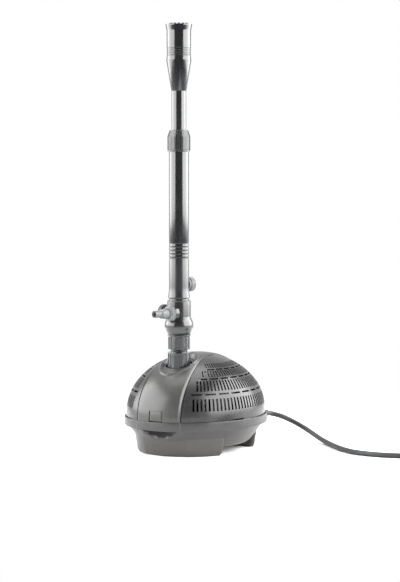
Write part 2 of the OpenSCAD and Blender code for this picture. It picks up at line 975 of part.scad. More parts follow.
module volute_screws() {
    cover_y = volute_front - seat_gap - cover_t;
    color("silver")
        on_motor_axis(cover_y)
            volute_places() {
                translate([0, 0, -bite])
                    cylinder(d = volute_screw_d, h = cover_t + volute_l / 4);
                difference() {
                    translate([0, 0, -volute_screw_d / 2])
                        cylinder(d = 2 * volute_screw_d, h = volute_screw_d / 2);
                    translate([0, 0, -volute_screw_d])
                        cylinder(d = volute_screw_d, h = 0.75 * volute_screw_d, $fn = 6);
                }
            }
}

// The dome in plan-stretched space: radius of its outside at a height.
function dome_r(z) = cover_r * sqrt(max(0, 1 - pow((z - dome_z) / cover_rise, 2)));

function dome_arc(r, rise) = [
    for (s = cage_ring_shares)
        [r * sqrt(1 - s * s), dome_z + rise * s]
];

module dome_shell() {
    inner = dome_arc(cover_r - cover_wall, cover_rise - cover_wall);
    rotate_extrude($fn = cage_facets)
        polygon(concat(
            [[cover_r, cover_z]],
            dome_arc(cover_r, cover_rise),
            [for (i = [len(inner) - 1 : -1 : 0]) inner[i]],
            [[cover_r - cover_wall, cover_z]]
        ));
}

// A cutter through the dome's wall at height z, square to its surface at height square_z.
module wall_cutter(z, square_z, width, height) {
    slope = atan2((square_z - dome_z) * pow(cover_r / cover_rise, 2), dome_r(square_z));
    translate([dome_r(z), 0, z])
        rotate([0, -slope, 0])
            cube([4 * cover_wall, width, height], center = true);
}

module slot(low_z, high_z) {
    mid_z = (low_z + high_z) / 2;
    width = 2 * dome_r(mid_z) * sin(slot_pitch_angle * slot_width_share / 2);
    hull()
        for (z = [low_z, high_z])
            wall_cutter(z, mid_z, width, slot_end_h);
}

module slot_row(low_share, high_share, skipped_share) {
    skipped = round(skipped_share * slot_count);
    for (i = [skipped : slot_count - 1 - skipped])
        rotate([0, 0, (i - (slot_count - 1) / 2) * slot_pitch_angle])
            slot(dome_z + low_share * cover_rise, dome_z + high_share * cover_rise);
}

module dash_row(z_share, first_angle) {
    z = dome_z + z_share * cover_rise;
    dash_angle = 2 * asin(dash_l / 2 / cover_r);
    pitch = dash_angle * (1 + dash_gap_share);
    count = floor((180 - 2 * first_angle) / pitch);
    for (i = [0 : count - 1])
        rotate([0, 0, (i - (count - 1) / 2) * pitch])
            wall_cutter(z, z, dash_l * dome_r(z) / cover_r, dash_w);
}

module pry_notch() {
    half_open = sqrt(pow(notch_h + notch_sink, 2) - pow(notch_sink, 2));
    rotate([0, 0, notch_angle - 90])
        translate([cover_r, 0, cover_z - notch_sink])
            scale([1, notch_w / half_open / 2, 1])
                rotate([0, 90, 0])
                    cylinder(r = notch_h + notch_sink, h = 6 * cover_wall, center = true, $fn = 18);
}

module cage(side) {
    color("#5a5c5f")
        oval()
            difference() {
                intersection() {
                    dome_shell();
                    linear_extrude(dome_z + cover_rise + over)
                        polygon(concat(
                            saddle_edge(side, saddle_seam),
                            [[side * base_w, base_l], [side * base_w, -base_l]]
                        ));
                }
                mirror([side < 0 ? 1 : 0, 0, 0]) {
                    for (row = slot_rows_shares)
                        slot_row(row[0], row[1], row[2]);
                    for (row = dash_rows_shares)
                        dash_row(row[0], row[1]);
                    pry_notch();
                }
            }
}

module cage_left() {
    cage(-1);
}

module cage_right() {
    cage(1);
}

// A space in which the cover's dome is a sphere of the cover's radius.
module dome_space() {
    translate([0, 0, dome_z])
        scale([1, plan_ratio, cover_rise / cover_r])
            children();
}

module dome_solid(r) {
    foot = (dome_z - cover_z) * cover_r / cover_rise;
    dome_space() {
        intersection() {
            sphere(r = r);
            translate([-cover_w, -cover_w, 0])
                cube([2 * cover_w, 2 * cover_w, cover_w]);
        }
        translate([0, 0, -foot])
            cylinder(r = r, h = foot);
    }
}

module saddle_plan() {
    left = saddle_edge(-1, 0);
    right = saddle_edge(1, 0);
    oval()
        linear_extrude(dome_z + 2 * cover_rise)
            polygon(concat(left, [for (i = [len(right) - 1 : -1 : 0]) right[i]]));
}

module saddle_skin() {
    difference() {
        intersection() {
            dome_solid(saddle_r);
            saddle_plan();
        }
        difference() {
            dome_solid(cover_r - cover_wall);
            translate([-cover_w, -cover_w * 2, 0])
                cube([2 * cover_w, 4 * cover_w, cover_z]);
        }
    }
}

// The dish's round bottom: an ellipsoid square to the dome at the riser, wall thicker by grow.
module dish(grow) {
    share = riser_forward / (saddle_r * plan_ratio);
    rise = saddle_r * cover_rise / cover_r;
    top_z = dome_z + rise * sqrt(1 - share * share);
    slope = atan2(rise * share, saddle_r * plan_ratio * sqrt(1 - share * share));
    depth = 3 * dish_depth;
    on_riser(top_z)
        rotate([slope, 0, 0])
            translate([0, 0, depth - dish_depth])
                scale([dish_w / 2 + grow, dish_l / 2 + grow, depth + grow])
                    sphere(r = 1);
}

module saddle_cover() {
    pocket_w = latch_w + 2 * latch_play;
    color("gray")
        difference() {
            union() {
                saddle_skin();
                intersection() {
                    dish(cover_wall);
                    dome_solid(cover_r);
                    on_riser()
                        cylinder(r = saddle_waist_w / 2 + dish_depth, h = dome_z + cover_rise);
                }
            }
            dish(0);
            on_riser()
                cylinder(d = dish_hole_d, h = dome_z + 2 * cover_rise);
            translate([-pocket_w / 2, -base_l, 0])
                cube([pocket_w, latch_run, latch_top_z + latch_play]);
        }
}

latch_hinge_y = -(cover_r - cover_wall) * plan_ratio * sqrt(1 - pow((latch_top_z - dome_z) / cover_rise, 2));

module front_latch() {
    nib_y = -(base_r - base_wall) * plan_ratio + latch_play;
    color("gray")
        union() {
            intersection() {
                saddle_skin();
                translate([-latch_w / 2, -base_l, latch_bottom_z])
                    cube([latch_w, latch_run, latch_top_z - latch_bottom_z]);
            }
            translate([-latch_w / 4, nib_y, seam_h - nib_drop])
                cube([latch_w / 2, nib_t, nib_drop + cover_foot]);
        }
}

module outlet_adapter() {
    bore_r = pipe_d / 2 - pipe_wall;
    color("#3c3f43")
        on_riser()
            difference() {
                union() {
                    translate([0, 0, adapter_bottom])
                        ribbed(adapter_d / 2, adapter_l, rib_count, rib_depth);
                    cylinder(d = neck_d, h = neck_top);
                    for (z = [nut_bottom + thread_pitch : thread_pitch : neck_top - thread_pitch])
                        translate([0, 0, z])
                            cylinder(r1 = neck_d / 2, r2 = neck_d / 2 + thread_t, h = thread_t);
                }
                cylinder(d = neck_d + rib_depth, h = adapter_bottom);
                translate([0, 0, adapter_bottom - over])
                    cylinder(r = bore_r, h = neck_top);
                translate([0, 0, adapter_bottom - over])
                    cylinder(r = pipe_d / 2 + adapter_play, h = adapter_socket + over);
            }
}

module adapter_seal() {
    color("#141517")
        on_riser(neck_top)
            ring(neck_d / 2, pipe_d / 2 - pipe_wall, seal_flat_t);
}

module union_nut() {
    shoulder_z = flange_z + flange_t + seat_gap;
    color("#43464a")
        on_riser()
            difference() {
                union() {
                    translate([0, 0, nut_bottom])
                        ribbed(nut_d / 2, nut_l - nut_lip_l, rib_count, rib_depth);
                    translate([0, 0, nut_top - 2 * nut_lip_l])
                        cylinder(d = nut_lip_d, h = 2 * nut_lip_l);
                }
                translate([0, 0, nut_bottom - over])
                    cylinder(r = nut_bore_r, h = shoulder_z - nut_bottom + over);
                translate([0, 0, nut_bottom])
                    cylinder(r = stem_r + seat_gap, h = nut_l + over);
                translate([0, 0, ball_h])
                    sphere(r = bulb_r + tilt_gap);
            }
}

module ball_stem() {
    color("#2e3135")
        on_riser()
            difference() {
                union() {
                    translate([0, 0, flange_z])
                        cylinder(r = flange_r, h = flange_t);
                    translate([0, 0, flange_z])
                        cylinder(r = stem_r, h = ball_h - flange_z);
                    intersection() {
                        translate([0, 0, ball_h])
                            sphere(r = ball_r);
                        translate([-bulb_d, -bulb_d, ball_h - bulb_d])
                            cube([2 * bulb_d, 2 * bulb_d, bulb_d + ball_r * 0.6]);
                    }
                }
                cylinder(r = stem_bore_r, h = ball_h + bulb_d);
                translate([0, 0, ball_h - ball_seal_r * 1.1])
                    ring(ball_r + over, ball_r - 2 * ball_seal_r, 2.2 * ball_seal_r);
            }
}

module ball_seal() {
    color("#111214")
        on_riser(ball_h)
            rotate_extrude()
                translate([ball_r + seat_gap / 3 - ball_seal_r, 0])
                    circle(r = ball_seal_r);
}

module tee_body() {
    color("#35383c")
        difference() {
            union() {
                difference() {
                    on_riser(ball_h)
                        sphere(r = bulb_r);
                    on_outlet(outlet_z)
                        translate([outlet_nut_back, outlet_offset, 0])
                            rotate([0, 90, 0])
                                cylinder(r = outlet_nut_d / 2 + tilt_gap, h = bulb_r);
                }
                on_riser(ball_h)
                    cylinder(d = tee_d, h = tee_rise);
                on_riser(tee_top - over)
                    cylinder(d = lower_d, h = waist_l + over - seat_gap);
                on_outlet(outlet_z)
                    translate([0, outlet_offset, 0])
                        rotate([0, 90, 0])
                            cylinder(r = stub_r, h = stub_end);
                on_outlet(outlet_z)
                    translate([side_valve_x, 0, 0])
                        rotate([90, 0, 0])
                            cylinder(r = side_boss_r, h = side_boss_end);
            }
            on_riser(ball_h)
                sphere(r = socket_r);
            on_riser(ball_h - bulb_d)
                cylinder(r = mouth_r, h = bulb_d);
            on_riser(ball_h)
                cylinder(r = tee_bore_r, h = tee_rise + 2 * waist_l);
            on_outlet(outlet_z)
                translate([0, outlet_offset, 0])
                    rotate([0, 90, 0])
                        cylinder(r = stub_bore_r, h = stub_end + over);
            on_outlet(outlet_z)
                translate([side_valve_x, 0, 0])
                    rotate([90, 0, 0])
                        cylinder(r = stem_d / 2 + seat_gap, h = side_boss_end + over);
        }
}

module knob(d, t) {
    difference() {
        ribbed(d / 2, t, knurl_count, knurl_depth);
        translate([0, 0, t - knurl_depth])
            cylinder(d = d * 0.6, h = over);
    }
}

module side_regulator() {
    knob_z = side_knob_reach - knob_t;
    color("#2b2d30")
        on_outlet(outlet_z)
            translate([side_valve_x, 0, 0])
                rotate([90, 0, 0]) {
                    translate([0, 0, knob_z])
                        knob(side_knob_d, knob_t);
                    translate([0, 0, side_boss_end + seat_gap])
                        cylinder(r = side_boss_r, h = knob_z - side_boss_end);
                    cylinder(d = stem_d, h = knob_z + bite);
                    difference() {
                        translate([0, 0, -side_valve_end])
                            cylinder(r = side_valve_r, h = side_valve_end + side_valve_r / 2);
                        translate([-side_valve_r, 0, -2 * side_valve_end])
                            cube([2 * side_valve_r, side_valve_r, 4 * side_valve_end]);
                    }
                }
}

module outlet_nut() {
    nut_r = outlet_nut_d / 2;
    back = outlet_nut_back;
    front = back + outlet_nut_l;
    hole_r = barb_root_d / 2 + nut_thread_play;
    color("#7b7e82")
        on_outlet(outlet_z)
            translate([0, outlet_offset, 0])
                rotate([0, 90, 0])
                    difference() {
                        union() {
                            translate([0, 0, back + seat_gap])
                                ribbed(nut_r, outlet_nut_l / 3, knurl_count, knurl_depth);
                            translate([0, 0, back + outlet_nut_l / 3])
                                cylinder(
                                    r1 = nut_r - knurl_depth,
                                    r2 = hole_r + 1.5 * knurl_depth,
                                    h = outlet_nut_l * 2 / 3
                                );
                        }
                        translate([0, 0, back])
                            cylinder(
                                r = stub_r + nut_thread_play,
                                h = barb_flange_x + barb_flange_t + seat_gap - back
                            );
                        translate([0, 0, back])
                            cylinder(r = hole_r, h = front - back + over);
                        on_tee_surface();
                    }
}

// The tee's barrel as the outlet nut sees it, kept clear while the nut turns.
module on_tee_surface() {
    cylinder(r = outlet_nut_d, h = outlet_nut_back + seat_gap);
}

module hose_barb() {
    root_r = barb_root_d / 2;
    tip_r = barb_tip_d / 2;
    color("#55585c")
        on_outlet(outlet_z)
            translate([0, outlet_offset, 0])
                rotate([0, 90, 0])
                    turned([
                        [barb_bore / 2, barb_flange_x],
                        [barb_flange_r, barb_flange_x],
                        [barb_flange_r, barb_flange_x + barb_flange_t],
                        [root_r, barb_flange_x + barb_flange_t],
                        [root_r, barb_step_x - barb_ridge_l],
                        [root_r + barb_ridge, barb_step_x - barb_ridge_l],
                        [root_r - barb_ridge, barb_step_x],
                        [tip_r, barb_step_x],
                        [tip_r, barb_reach - barb_ridge],
                        [tip_r - barb_ridge, barb_reach],
                        [barb_bore / 2, barb_reach]
                    ]);
}

module riser_socket() {
    foot_r = socket_foot_d / 2;
    boss_end = riser_knob_reach - knob_t - seat_gap;
    color("#3e4145")
        difference() {
            union() {
                on_riser(socket_z)
                    turned([
                        [0, 0], [foot_r - bite, 0], [foot_r, over], [foot_r, over + bite],
                        [lower_r, socket_flare_l],
                        [lower_r, socket_l], [0, socket_l]
                    ]);
                on_outlet(riser_valve_z)
                    rotate([0, -90, 0])
                        cylinder(r = riser_boss_r, h = boss_end);
            }
            on_riser(socket_z - over)
                cylinder(r = socket_bore_r, h = socket_l + 2 * over);
            on_riser(socket_top - spigot_l - seat_gap)
                cylinder(r = spigot_r + spigot_play, h = spigot_l + over);
            on_outlet(riser_valve_z)
                rotate([0, -90, 0])
                    cylinder(r = stem_d / 2 + seat_gap, h = riser_knob_reach);
        }
}

module riser_regulator() {
    knob_z = riser_knob_reach - knob_t;
    color("#2b2d30")
        on_outlet(riser_valve_z)
            rotate([0, -90, 0]) {
                translate([0, 0, knob_z])
                    knob(riser_knob_d, knob_t);
                translate([0, 0, -riser_valve_r / 2])
                    cylinder(d = stem_d, h = knob_z + riser_valve_r / 2 + bite);
                rotate([0, 90, 0])
                    cylinder(r = riser_valve_r, h = valve_t, center = true);
            }
}

module lower_tube() {
    thread_r = lower_r - over;
    color("#2d3034")
        on_riser()
            difference() {
                union() {
                    translate([0, 0, socket_top - spigot_l])
                        cylinder(r = spigot_r, h = spigot_l + over);
                    translate([0, 0, socket_top + seat_gap / 3])
                        cylinder(r = lower_r, h = lower_l + over);
                    translate([0, 0, collar_z])
                        cylinder(r = thread_r, h = lower_top - collar_z);
                }
                cylinder(r = lower_bore_r, h = collar_top);
                for (i = [0 : groove_count - 1])
                    translate([0, 0, socket_top + i * groove_pitch + groove_w / 4])
                        ring(lower_d, lower_r - groove_depth, groove_w);
            }
}

module lock_collar() {
    collar_r = collar_d / 2;
    color("#303338")
        on_riser()
            difference() {
                intersection() {
                    translate([0, 0, collar_z + 2 * over])
                        ribbed(collar_r, collar_l - 2 * over, collar_ribs, groove_depth / 2);
                    translate([0, 0, collar_z])
                        turned([
                            [0, 0], [collar_r, 0],
                            [collar_r, collar_l - collar_chamfer_l],
                            [collar_r - collar_chamfer, collar_l], [0, collar_l]
                        ]);
                }
                translate([0, 0, collar_z])
                    cylinder(r = lower_r + seat_gap, h = 3 * over);
                translate([0, 0, collar_z])
                    cylinder(
                        r = lower_r - over + seat_gap,
                        h = lower_top + clamp_t - collar_z + 2 * seat_gap
                    );
                cylinder(r = upper_r + tube_play, h = collar_top + over);
            }
}

module clamp_ring() {
    color("#c9cbcd")
        on_riser(lower_top + seat_gap)
            difference() {
                ring(lower_r - over - seat_gap, upper_r + clamp_play, clamp_t - seat_gap);
                translate([0, -clamp_split / 2, -over])
                    cube([lower_r, clamp_split, clamp_t + 2 * over]);
            }
}

module upper_tube() {
    color("#2d3034")
        on_riser()
            difference() {
                union() {
                    translate([0, 0, collar_top - upper_hidden])
                        cylinder(r = upper_r, h = upper_hidden + upper_show);
                    translate([0, 0, nozzle_z - over])
                        cylinder(r = tube_spigot_r, h = tube_spigot_l + over);
                }
                cylinder(r = upper_r - upper_wall, h = nozzle_top);
            }
}

module nozzle_head() {
    barrel_r = nozzle_d / 2;
    lip_r = nozzle_lip_d / 2;
    flare_z = nozzle_l * nozzle_flare_share;
    barrel_z = flare_z + 2 * over;
    foot_r = upper_r;
    color("#2d3034")
        on_riser(nozzle_z + seat_gap)
            difference() {
                turned([
                    [0, 0], [foot_r, 0],
                    [barrel_r + nozzle_flare, flare_z],
                    [barrel_r, barrel_z],
                    [barrel_r, nozzle_l - nozzle_lip_l - over],
                    [lip_r, nozzle_l - nozzle_lip_l],
                    [lip_r, nozzle_l - bite - seat_gap],
                    [lip_r - bite, nozzle_l - seat_gap],
                    [0, nozzle_l - seat_gap]
                ]);
                translate([0, 0, -over])
                    cylinder(r = tube_spigot_r + seat_gap / 3, h = tube_spigot_l + 2 * over);
                turned([
                    [0, tube_spigot_l],
                    [upper_r - nozzle_wall, tube_spigot_l],
                    [barrel_r - nozzle_wall, barrel_z],
                    [barrel_r - nozzle_wall, nozzle_l + over],
                    [0, nozzle_l + over]
                ]);
                for (s = nozzle_groove_shares)
                    translate([0, 0, s * nozzle_l])
                        ring(nozzle_d, barrel_r - groove_depth, groove_w);
            }
}

module nozzle_jets() {
    plate_r = nozzle_d / 2 - nozzle_wall - seat_gap;
    plate_z = nozzle_top - jet_plate_drop;
    tube_l = jet_plate_drop + jet_proud - jet_plate_t / 2;
    places = [
        [0, 0],
        for (i = [0 : jet_count / 2 - 1])
            0.42 * plate_r * [cos(720 * i / jet_count), sin(720 * i / jet_count)],
        for (i = [0 : jet_count - 1])
            jet_ring_share * plate_r * [cos(360 * i / jet_count), sin(360 * i / jet_count)]
    ];
    color("#1b1c1e")
        on_riser(plate_z)
            difference() {
                union() {
                    cylinder(r = plate_r, h = jet_plate_t);
                    for (p = places)
                        translate([p[0], p[1], jet_plate_t / 2])
                            cylinder(d = jet_d, h = tube_l);
                }
                for (p = places)
                    translate([p[0], p[1], -over])
                        cylinder(d = jet_bore, h = jet_plate_drop + jet_proud + 2 * over);
            }
}

// The coil's path: t counts turns; the radius runs in and out at a steady rate and
// each layer is climbed in the half turn where the spiral reverses.
function coil_r(t) =
    let (fold = abs(t / layer_turns % 2 - 1))
    coil_inner_r + (coil_outer_r - coil_inner_r) * fold;

function climb(t) = t <= 0 ? 0 : t >= 1 ? 1 : (1 - cos(180 * t)) / 2;

function coil_z(t) =
    let (steps = [for (k = [1 : layer_count - 1]) climb((t - k * layer_turns) * 2 + 0.5)])
    cable_r + coil_pitch * (steps * [for (k = [1 : layer_count - 1]) 1]);

function coil_point(t) =
    let (a = coil_start_angle - 360 * t)
    [coil_x + coil_r(t) * cos(a), coil_y + coil_r(t) * sin(a), coil_z(t)];

coil_run = layer_turns * layer_count - 1 + coil_start_angle / 360;
coil_heading = [sin(coil_start_angle), -cos(coil_start_angle), 0];
coil_head = coil_point(0) - cable_d * coil_heading;
coil_tail = coil_point(coil_run) - [0, cable_d, 0];
coil_rings = floor(coil_run * rings_per_turn);

coil_path = concat(
    [coil_head],
    [for (i = [0 : coil_rings]) coil_point(coil_run * i / coil_rings)],
    [coil_tail]
);

// Least distance between the coil's centreline and itself, half a turn or more apart.
function coil_clearance() =
    let (skip = rings_per_turn / 2)
    min([
        for (i = [0 : len(coil_path) - 1 - skip])
            min([for (j = [i + skip : len(coil_path) - 1]) norm(coil_path[i] - coil_path[j])])
    ]) - cable_d;

module cable() {
    tip = gland_at + boot_l * gland_dir;
    color("#303236")
        tube_along(
            concat(
                [tip, tip + cable_d * gland_dir],
                cable_points,
                [coil_head - cable_d * coil_heading, coil_head]
            ),
            cable_r, cable_sides
        );
}

module cable_coil() {
    echo(least_gap_of_the_coil_to_itself = coil_clearance());
    color("#303236")
        tube_along(coil_path, cable_r, coil_sides);
}

tail_x = coil_tail[0];
tail_level_y = coil_y - sqrt(pow(coil_outer_r + cable_d + over, 2) - pow(tail_x - coil_x, 2));
tail_end_y = tail_level_y - tail_drop_y;

module cable_tail() {
    steps = 5;
    level_l = coil_tail[1] - tail_level_y;
    fall = coil_tail[2] - plug_z;
    level = [for (i = [0 : 3]) [tail_x, coil_tail[1] - level_l * i / 3, coil_tail[2]]];
    drop = [
        for (i = [1 : steps - 1])
            [tail_x, tail_level_y - tail_drop_y * i / steps, coil_tail[2] - fall * climb(i / steps)]
    ];
    color("#303236")
        tube_along(
            concat(level, drop, [[tail_x, tail_end_y + cable_d / 2, plug_z], [tail_x, tail_end_y, plug_z]]),
            cable_r, cable_sides
        );
}

module on_plug() {
    translate([tail_x, tail_end_y, plug_z])
        rotate([90, 0, 0])
            children();
}

module plug_body() {
    plug_r = plug_d / 2;
    color("#242628")
        on_plug()
            turned([
                [0, 0], [boot_tip_r, 0], [cable_d, plug_boot_l],
                for (i = [len(grip_shares) - 1 : -1 : 0])
                    [grip_shares[i][0] * plug_r, plug_boot_l + plug_l * (1 - grip_shares[i][1])],
                [0, plug_boot_l + plug_l]
            ]);
}

module plug_pins() {
    color("silver")
        on_plug()
            for (side = [-1, 1])
                translate([side * pin_gap / 2, 0, plug_boot_l + plug_l]) {
                    cylinder(d = pin_d, h = pin_l - pin_d / 2);
                    translate([0, 0, pin_l - pin_d / 2])
                        sphere(d = pin_d);
                }
}

base_shell();
cable_gland();
cable_boot();
inner_lead();
motor_housing();
motor_end_cap();
motor_screws();
stator_core();
stator_coils();
rotor_magnet();
impeller();
pump_shaft();
front_bush();
rear_bush();
volute_housing();
volute_cover();
volute_seal();
volute_screws();
cage_left();
cage_right();
saddle_cover();
front_latch();
outlet_adapter();
adapter_seal();
union_nut();
ball_stem();
ball_seal();
tee_body();
side_regulator();
outlet_nut();
hose_barb();
riser_socket();
riser_regulator();
lower_tube();
lock_collar();
clamp_ring();
upper_tube();
nozzle_head();
nozzle_jets();
cable();
cable_coil();
cable_tail();
plug_body();
plug_pins();
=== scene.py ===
"""Fountain pump: the finished look of every piece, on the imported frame.

Shapes are worked out in millimetres and put into the meshes in metres. A shape is a pair:
points, an array of (x, y, z), and faces, an array of four point numbers a row.
"""

import json
import math

import bpy
import numpy as np
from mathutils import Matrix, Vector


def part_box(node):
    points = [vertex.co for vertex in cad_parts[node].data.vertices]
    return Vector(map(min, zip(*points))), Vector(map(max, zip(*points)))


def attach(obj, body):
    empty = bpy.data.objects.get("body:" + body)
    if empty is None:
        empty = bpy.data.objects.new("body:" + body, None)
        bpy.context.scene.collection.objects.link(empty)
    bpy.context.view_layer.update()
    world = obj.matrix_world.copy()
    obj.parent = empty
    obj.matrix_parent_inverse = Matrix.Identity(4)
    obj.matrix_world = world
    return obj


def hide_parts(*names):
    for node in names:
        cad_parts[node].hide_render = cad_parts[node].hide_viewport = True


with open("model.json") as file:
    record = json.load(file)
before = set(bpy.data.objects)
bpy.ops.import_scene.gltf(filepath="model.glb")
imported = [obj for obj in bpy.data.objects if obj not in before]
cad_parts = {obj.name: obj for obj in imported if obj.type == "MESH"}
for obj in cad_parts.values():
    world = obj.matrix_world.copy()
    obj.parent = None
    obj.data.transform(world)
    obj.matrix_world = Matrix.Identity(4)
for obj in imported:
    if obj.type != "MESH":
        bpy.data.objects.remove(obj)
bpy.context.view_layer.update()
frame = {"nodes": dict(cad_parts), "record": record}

MM = 0.001
SHARP_EDGE = math.radians(38)

# The photograph's view: its frame is 400 by 582 pixels.
LONG_SIDE_PX = 582
FOCAL_PX = 2034
HORIZON_PX = 160.5
SENSOR_MM = 36
VIEW_TURN = math.radians(28.5)
EYE_DISTANCE = 2781
EYE_SIDE = 5.2
EYE_HEIGHT = 395
FAR_M = 40

# Driving sizes of the pump, in mm, as in the part's source. Only the side arch is a little
# shorter here, as in the photograph.
PLAN_RATIO = 228.8 / 185.2
RIM_R = 92.6
RIM_LOW, RIM_HIGH = 36.5, 48.5
BOWL_LOW, BASE_WALL = 10, 2.6
ARCH_HALF = 44.5
COVER_R, COVER_WALL, COVER_RISE = 90.3, 2.4, 79
COVER_LOW, DOME_LOW = 48.8, 52.5
SADDLE_PROUD, SADDLE_SEAM = 1.8, 0.8
SADDLE_HALF, SADDLE_WAIST_HALF, SADDLE_WAIST_Y = 33, 17, 18
SADDLE_FRONT_RUN, SADDLE_BACK_RUN = 125, 89
RISER_Y = -48.5
BALL_Z = 172.5
OUTLET_Z = 190
OUTLET_TURN = math.radians(-113)
CABLE_D = 7.0

OUTWARD = np.array([math.cos(OUTLET_TURN), math.sin(OUTLET_TURN), 0.0])
SIDEWARD = np.array([-math.sin(OUTLET_TURN), math.cos(OUTLET_TURN), 0.0])
RISER = np.array([0.0, RISER_Y, 0.0])
UP = np.array([0.0, 0.0, 1.0])


def unit(v):
    return np.asarray(v, float) / np.linalg.norm(v)


def box_mm(node):
    """Lowest and highest corner of a CAD node, in mm."""
    low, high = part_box(node)
    return np.array(low) / MM, np.array(high) / MM


def heights(node):
    """Lowest and highest point of a CAD node, in mm."""
    return [corner[2] for corner in box_mm(node)]


def new_object(name, data):
    """An object in the scene, of a mesh, a camera or a lamp."""
    thing = bpy.data.objects.new(name, data)
    bpy.context.scene.collection.objects.link(thing)
    return thing


# Camera


def place_camera():
    """Stands at the photograph's eye point and looks down by the angle that its horizon gives."""
    data = bpy.data.cameras.new("camera")
    data.sensor_width = SENSOR_MM
    data.lens = SENSOR_MM * FOCAL_PX / LONG_SIDE_PX
    data.clip_end = FAR_M
    camera = new_object("camera", data)
    right = np.array([math.cos(VIEW_TURN), math.sin(VIEW_TURN), 0])
    towards = np.array([math.sin(VIEW_TURN), -math.cos(VIEW_TURN), 0])
    place = EYE_DISTANCE * towards + EYE_SIDE * right + EYE_HEIGHT * UP
    pitch = math.atan((LONG_SIDE_PX / 2 - HORIZON_PX) / FOCAL_PX)
    camera.location = (place * MM).tolist()
    camera.rotation_euler = (math.pi / 2 - pitch, 0, VIEW_TURN)
    bpy.context.scene.camera = camera


place_camera()

# Materials


def hex_colour(code):
    """Turns an sRGB hex code into linear red, green, blue and alpha."""
    srgb = np.array([int(code[i : i + 2], 16) for i in (1, 3, 5)]) / 255
    linear = np.where(srgb <= 0.04045, srgb / 12.92, ((srgb + 0.055) / 1.055) ** 2.4)
    return (*linear.tolist(), 1.0)


def join(tree, node, *links):
    """Links a node's inputs: a link is (input, other node, its output)."""
    for target, source, output in links:
        tree.links.new(source.outputs[output], node.inputs[target])


def adjust(node, **settings):
    """Sets a node: a setting is a property, or the default of the input of that name."""
    for key, value in settings.items():
        if key in node.bl_rna.properties:
            setattr(node, key, value)
        else:
            node.inputs[key.replace("_", " ")].default_value = value


def add(tree, kind, links=(), ramp=(), **settings):
    """Adds a shader node with its settings and links. A ramp is its two stops, each a position and
    a hex code."""
    node = tree.nodes.new("ShaderNode" + kind)
    adjust(node, **settings)
    for k, (position, code) in enumerate(ramp):
        node.color_ramp.elements[k].position = position
        node.color_ramp.elements[k].color = hex_colour(code)
    join(tree, node, *links)
    return node


def new_material(name, **shader):
    """A material with its Principled shader and object coordinates, ready for patterns."""
    material = bpy.data.materials.new(name)
    material.use_nodes = True
    tree = material.node_tree
    surface = tree.nodes["Principled BSDF"]
    adjust(surface, **shader)
    place = add(tree, "TexCoord")
    return material, tree, surface, place


PATCH_MM = 35


def moulded_plastic(name, dark, light, rough, grain_mm, grain, **shader):
    """Injection-moulded plastic: two close shades in soft patches, a fine spark-eroded grain that
    breaks the highlights, and slightly uneven gloss."""
    material, tree, surface, place = new_material(name, **shader)
    patches = add(
        tree, "TexNoise", [("Vector", place, "Object")],
        Scale=1 / (PATCH_MM * MM), Detail=4.0, Roughness=0.55,
    )
    shades = add(tree, "ValToRGB", [("Fac", patches, "Fac")], [(0.38, dark), (0.66, light)])
    fine = add(
        tree, "TexNoise", [("Vector", place, "Object")],
        Scale=1 / (grain_mm * MM), Detail=3.0, Roughness=0.6,
    )
    gloss = add(
        tree, "MapRange", [("Value", patches, "Fac")],
        From_Min=0.35, From_Max=0.7, To_Min=rough - 0.04, To_Max=rough + 0.05,
    )
    bump = add(tree, "Bump", [("Height", fine, "Fac")], Strength=0.6, Distance=grain * MM)
    join(
        tree, surface, ("Base Color", shades, "Color"), ("Roughness", gloss, "Result"),
        ("Normal", bump, "Normal"),
    )
    return material


def base_abs():
    """Charcoal ABS with matt texture, and a painted warm floor reflection: the colour turns lighter
    and browner towards the bottom, over the underside and feet.
    """
    material = moulded_plastic("charcoal_abs_base", "#323131", "#3a3939", 0.31, 0.9, 0.04)
    tree = material.node_tree
    surface, place = tree.nodes["Principled BSDF"], tree.nodes["Texture Coordinate"]
    shades = surface.inputs["Base Color"].links[0].from_node
    split = add(tree, "SeparateXYZ", [("Vector", place, "Object")])
    # Painted floor reflection: a lighter, warmer colour is mixed in, strongest at the floor and
    # gone 34 mm up.
    low = add(
        tree, "MapRange", [("Value", split, "Z")],
        From_Min=0.0, From_Max=0.034, To_Min=0.75, To_Max=0.0,
    )
    painted_floor_reflection = add(
        tree, "Mix", [("Factor", low, "Result"), ("A", shades, "Color")],
        data_type="RGBA", B=hex_colour("#494443"),
    )
    join(tree, surface, ("Base Color", painted_floor_reflection, "Result"))
    return material


LINE_MM, LINE_STRETCH = 0.12, 12


def drawn_metal(name, dark, light, rough):
    """Turned or drawn metal: fine lines round the piece break the reflection along its length."""
    material, tree, surface, place = new_material(name, Metallic=1.0)
    squeeze = add(tree, "Mapping", [("Vector", place, "Object")], Scale=(1, 1, LINE_STRETCH))
    lines = add(
        tree, "TexNoise", [("Vector", squeeze, "Vector")],
        Scale=1 / (LINE_MM * LINE_STRETCH * MM), Detail=2.0,
    )
    shades = add(tree, "ValToRGB", [("Fac", lines, "Fac")], [(0, dark), (1, light)])
    gloss = add(
        tree, "MapRange", [("Value", lines, "Fac")],
        To_Min=rough - 0.05, To_Max=rough + 0.1,
    )
    join(tree, surface, ("Base Color", shades, "Color"), ("Roughness", gloss, "Result"))
    return material


# A wave texture repeats every pi / 10 of its scale: 2 mm here.
BAND_SCALE = 1 / (6.3 * MM)


def banded_metal(name, direction, dark, light, distortion, relief=0, **shader):
    """Stacked sheets or turns of wire, drawn 2 mm apart so that the lines show. The relief, in mm,
    rounds the turns."""
    material, tree, surface, place = new_material(name, **shader)
    bands = add(
        tree, "TexWave", [("Vector", place, "Object")],
        bands_direction=direction, Scale=BAND_SCALE, Distortion=distortion,
    )
    shades = add(tree, "ValToRGB", [("Fac", bands, "Fac")], [(0, dark), (1, light)])
    join(tree, surface, ("Base Color", shades, "Color"))
    if relief:
        bump = add(tree, "Bump", [("Height", bands, "Fac")], Strength=0.8, Distance=relief * MM)
        join(tree, surface, ("Normal", bump, "Normal"))
    return material


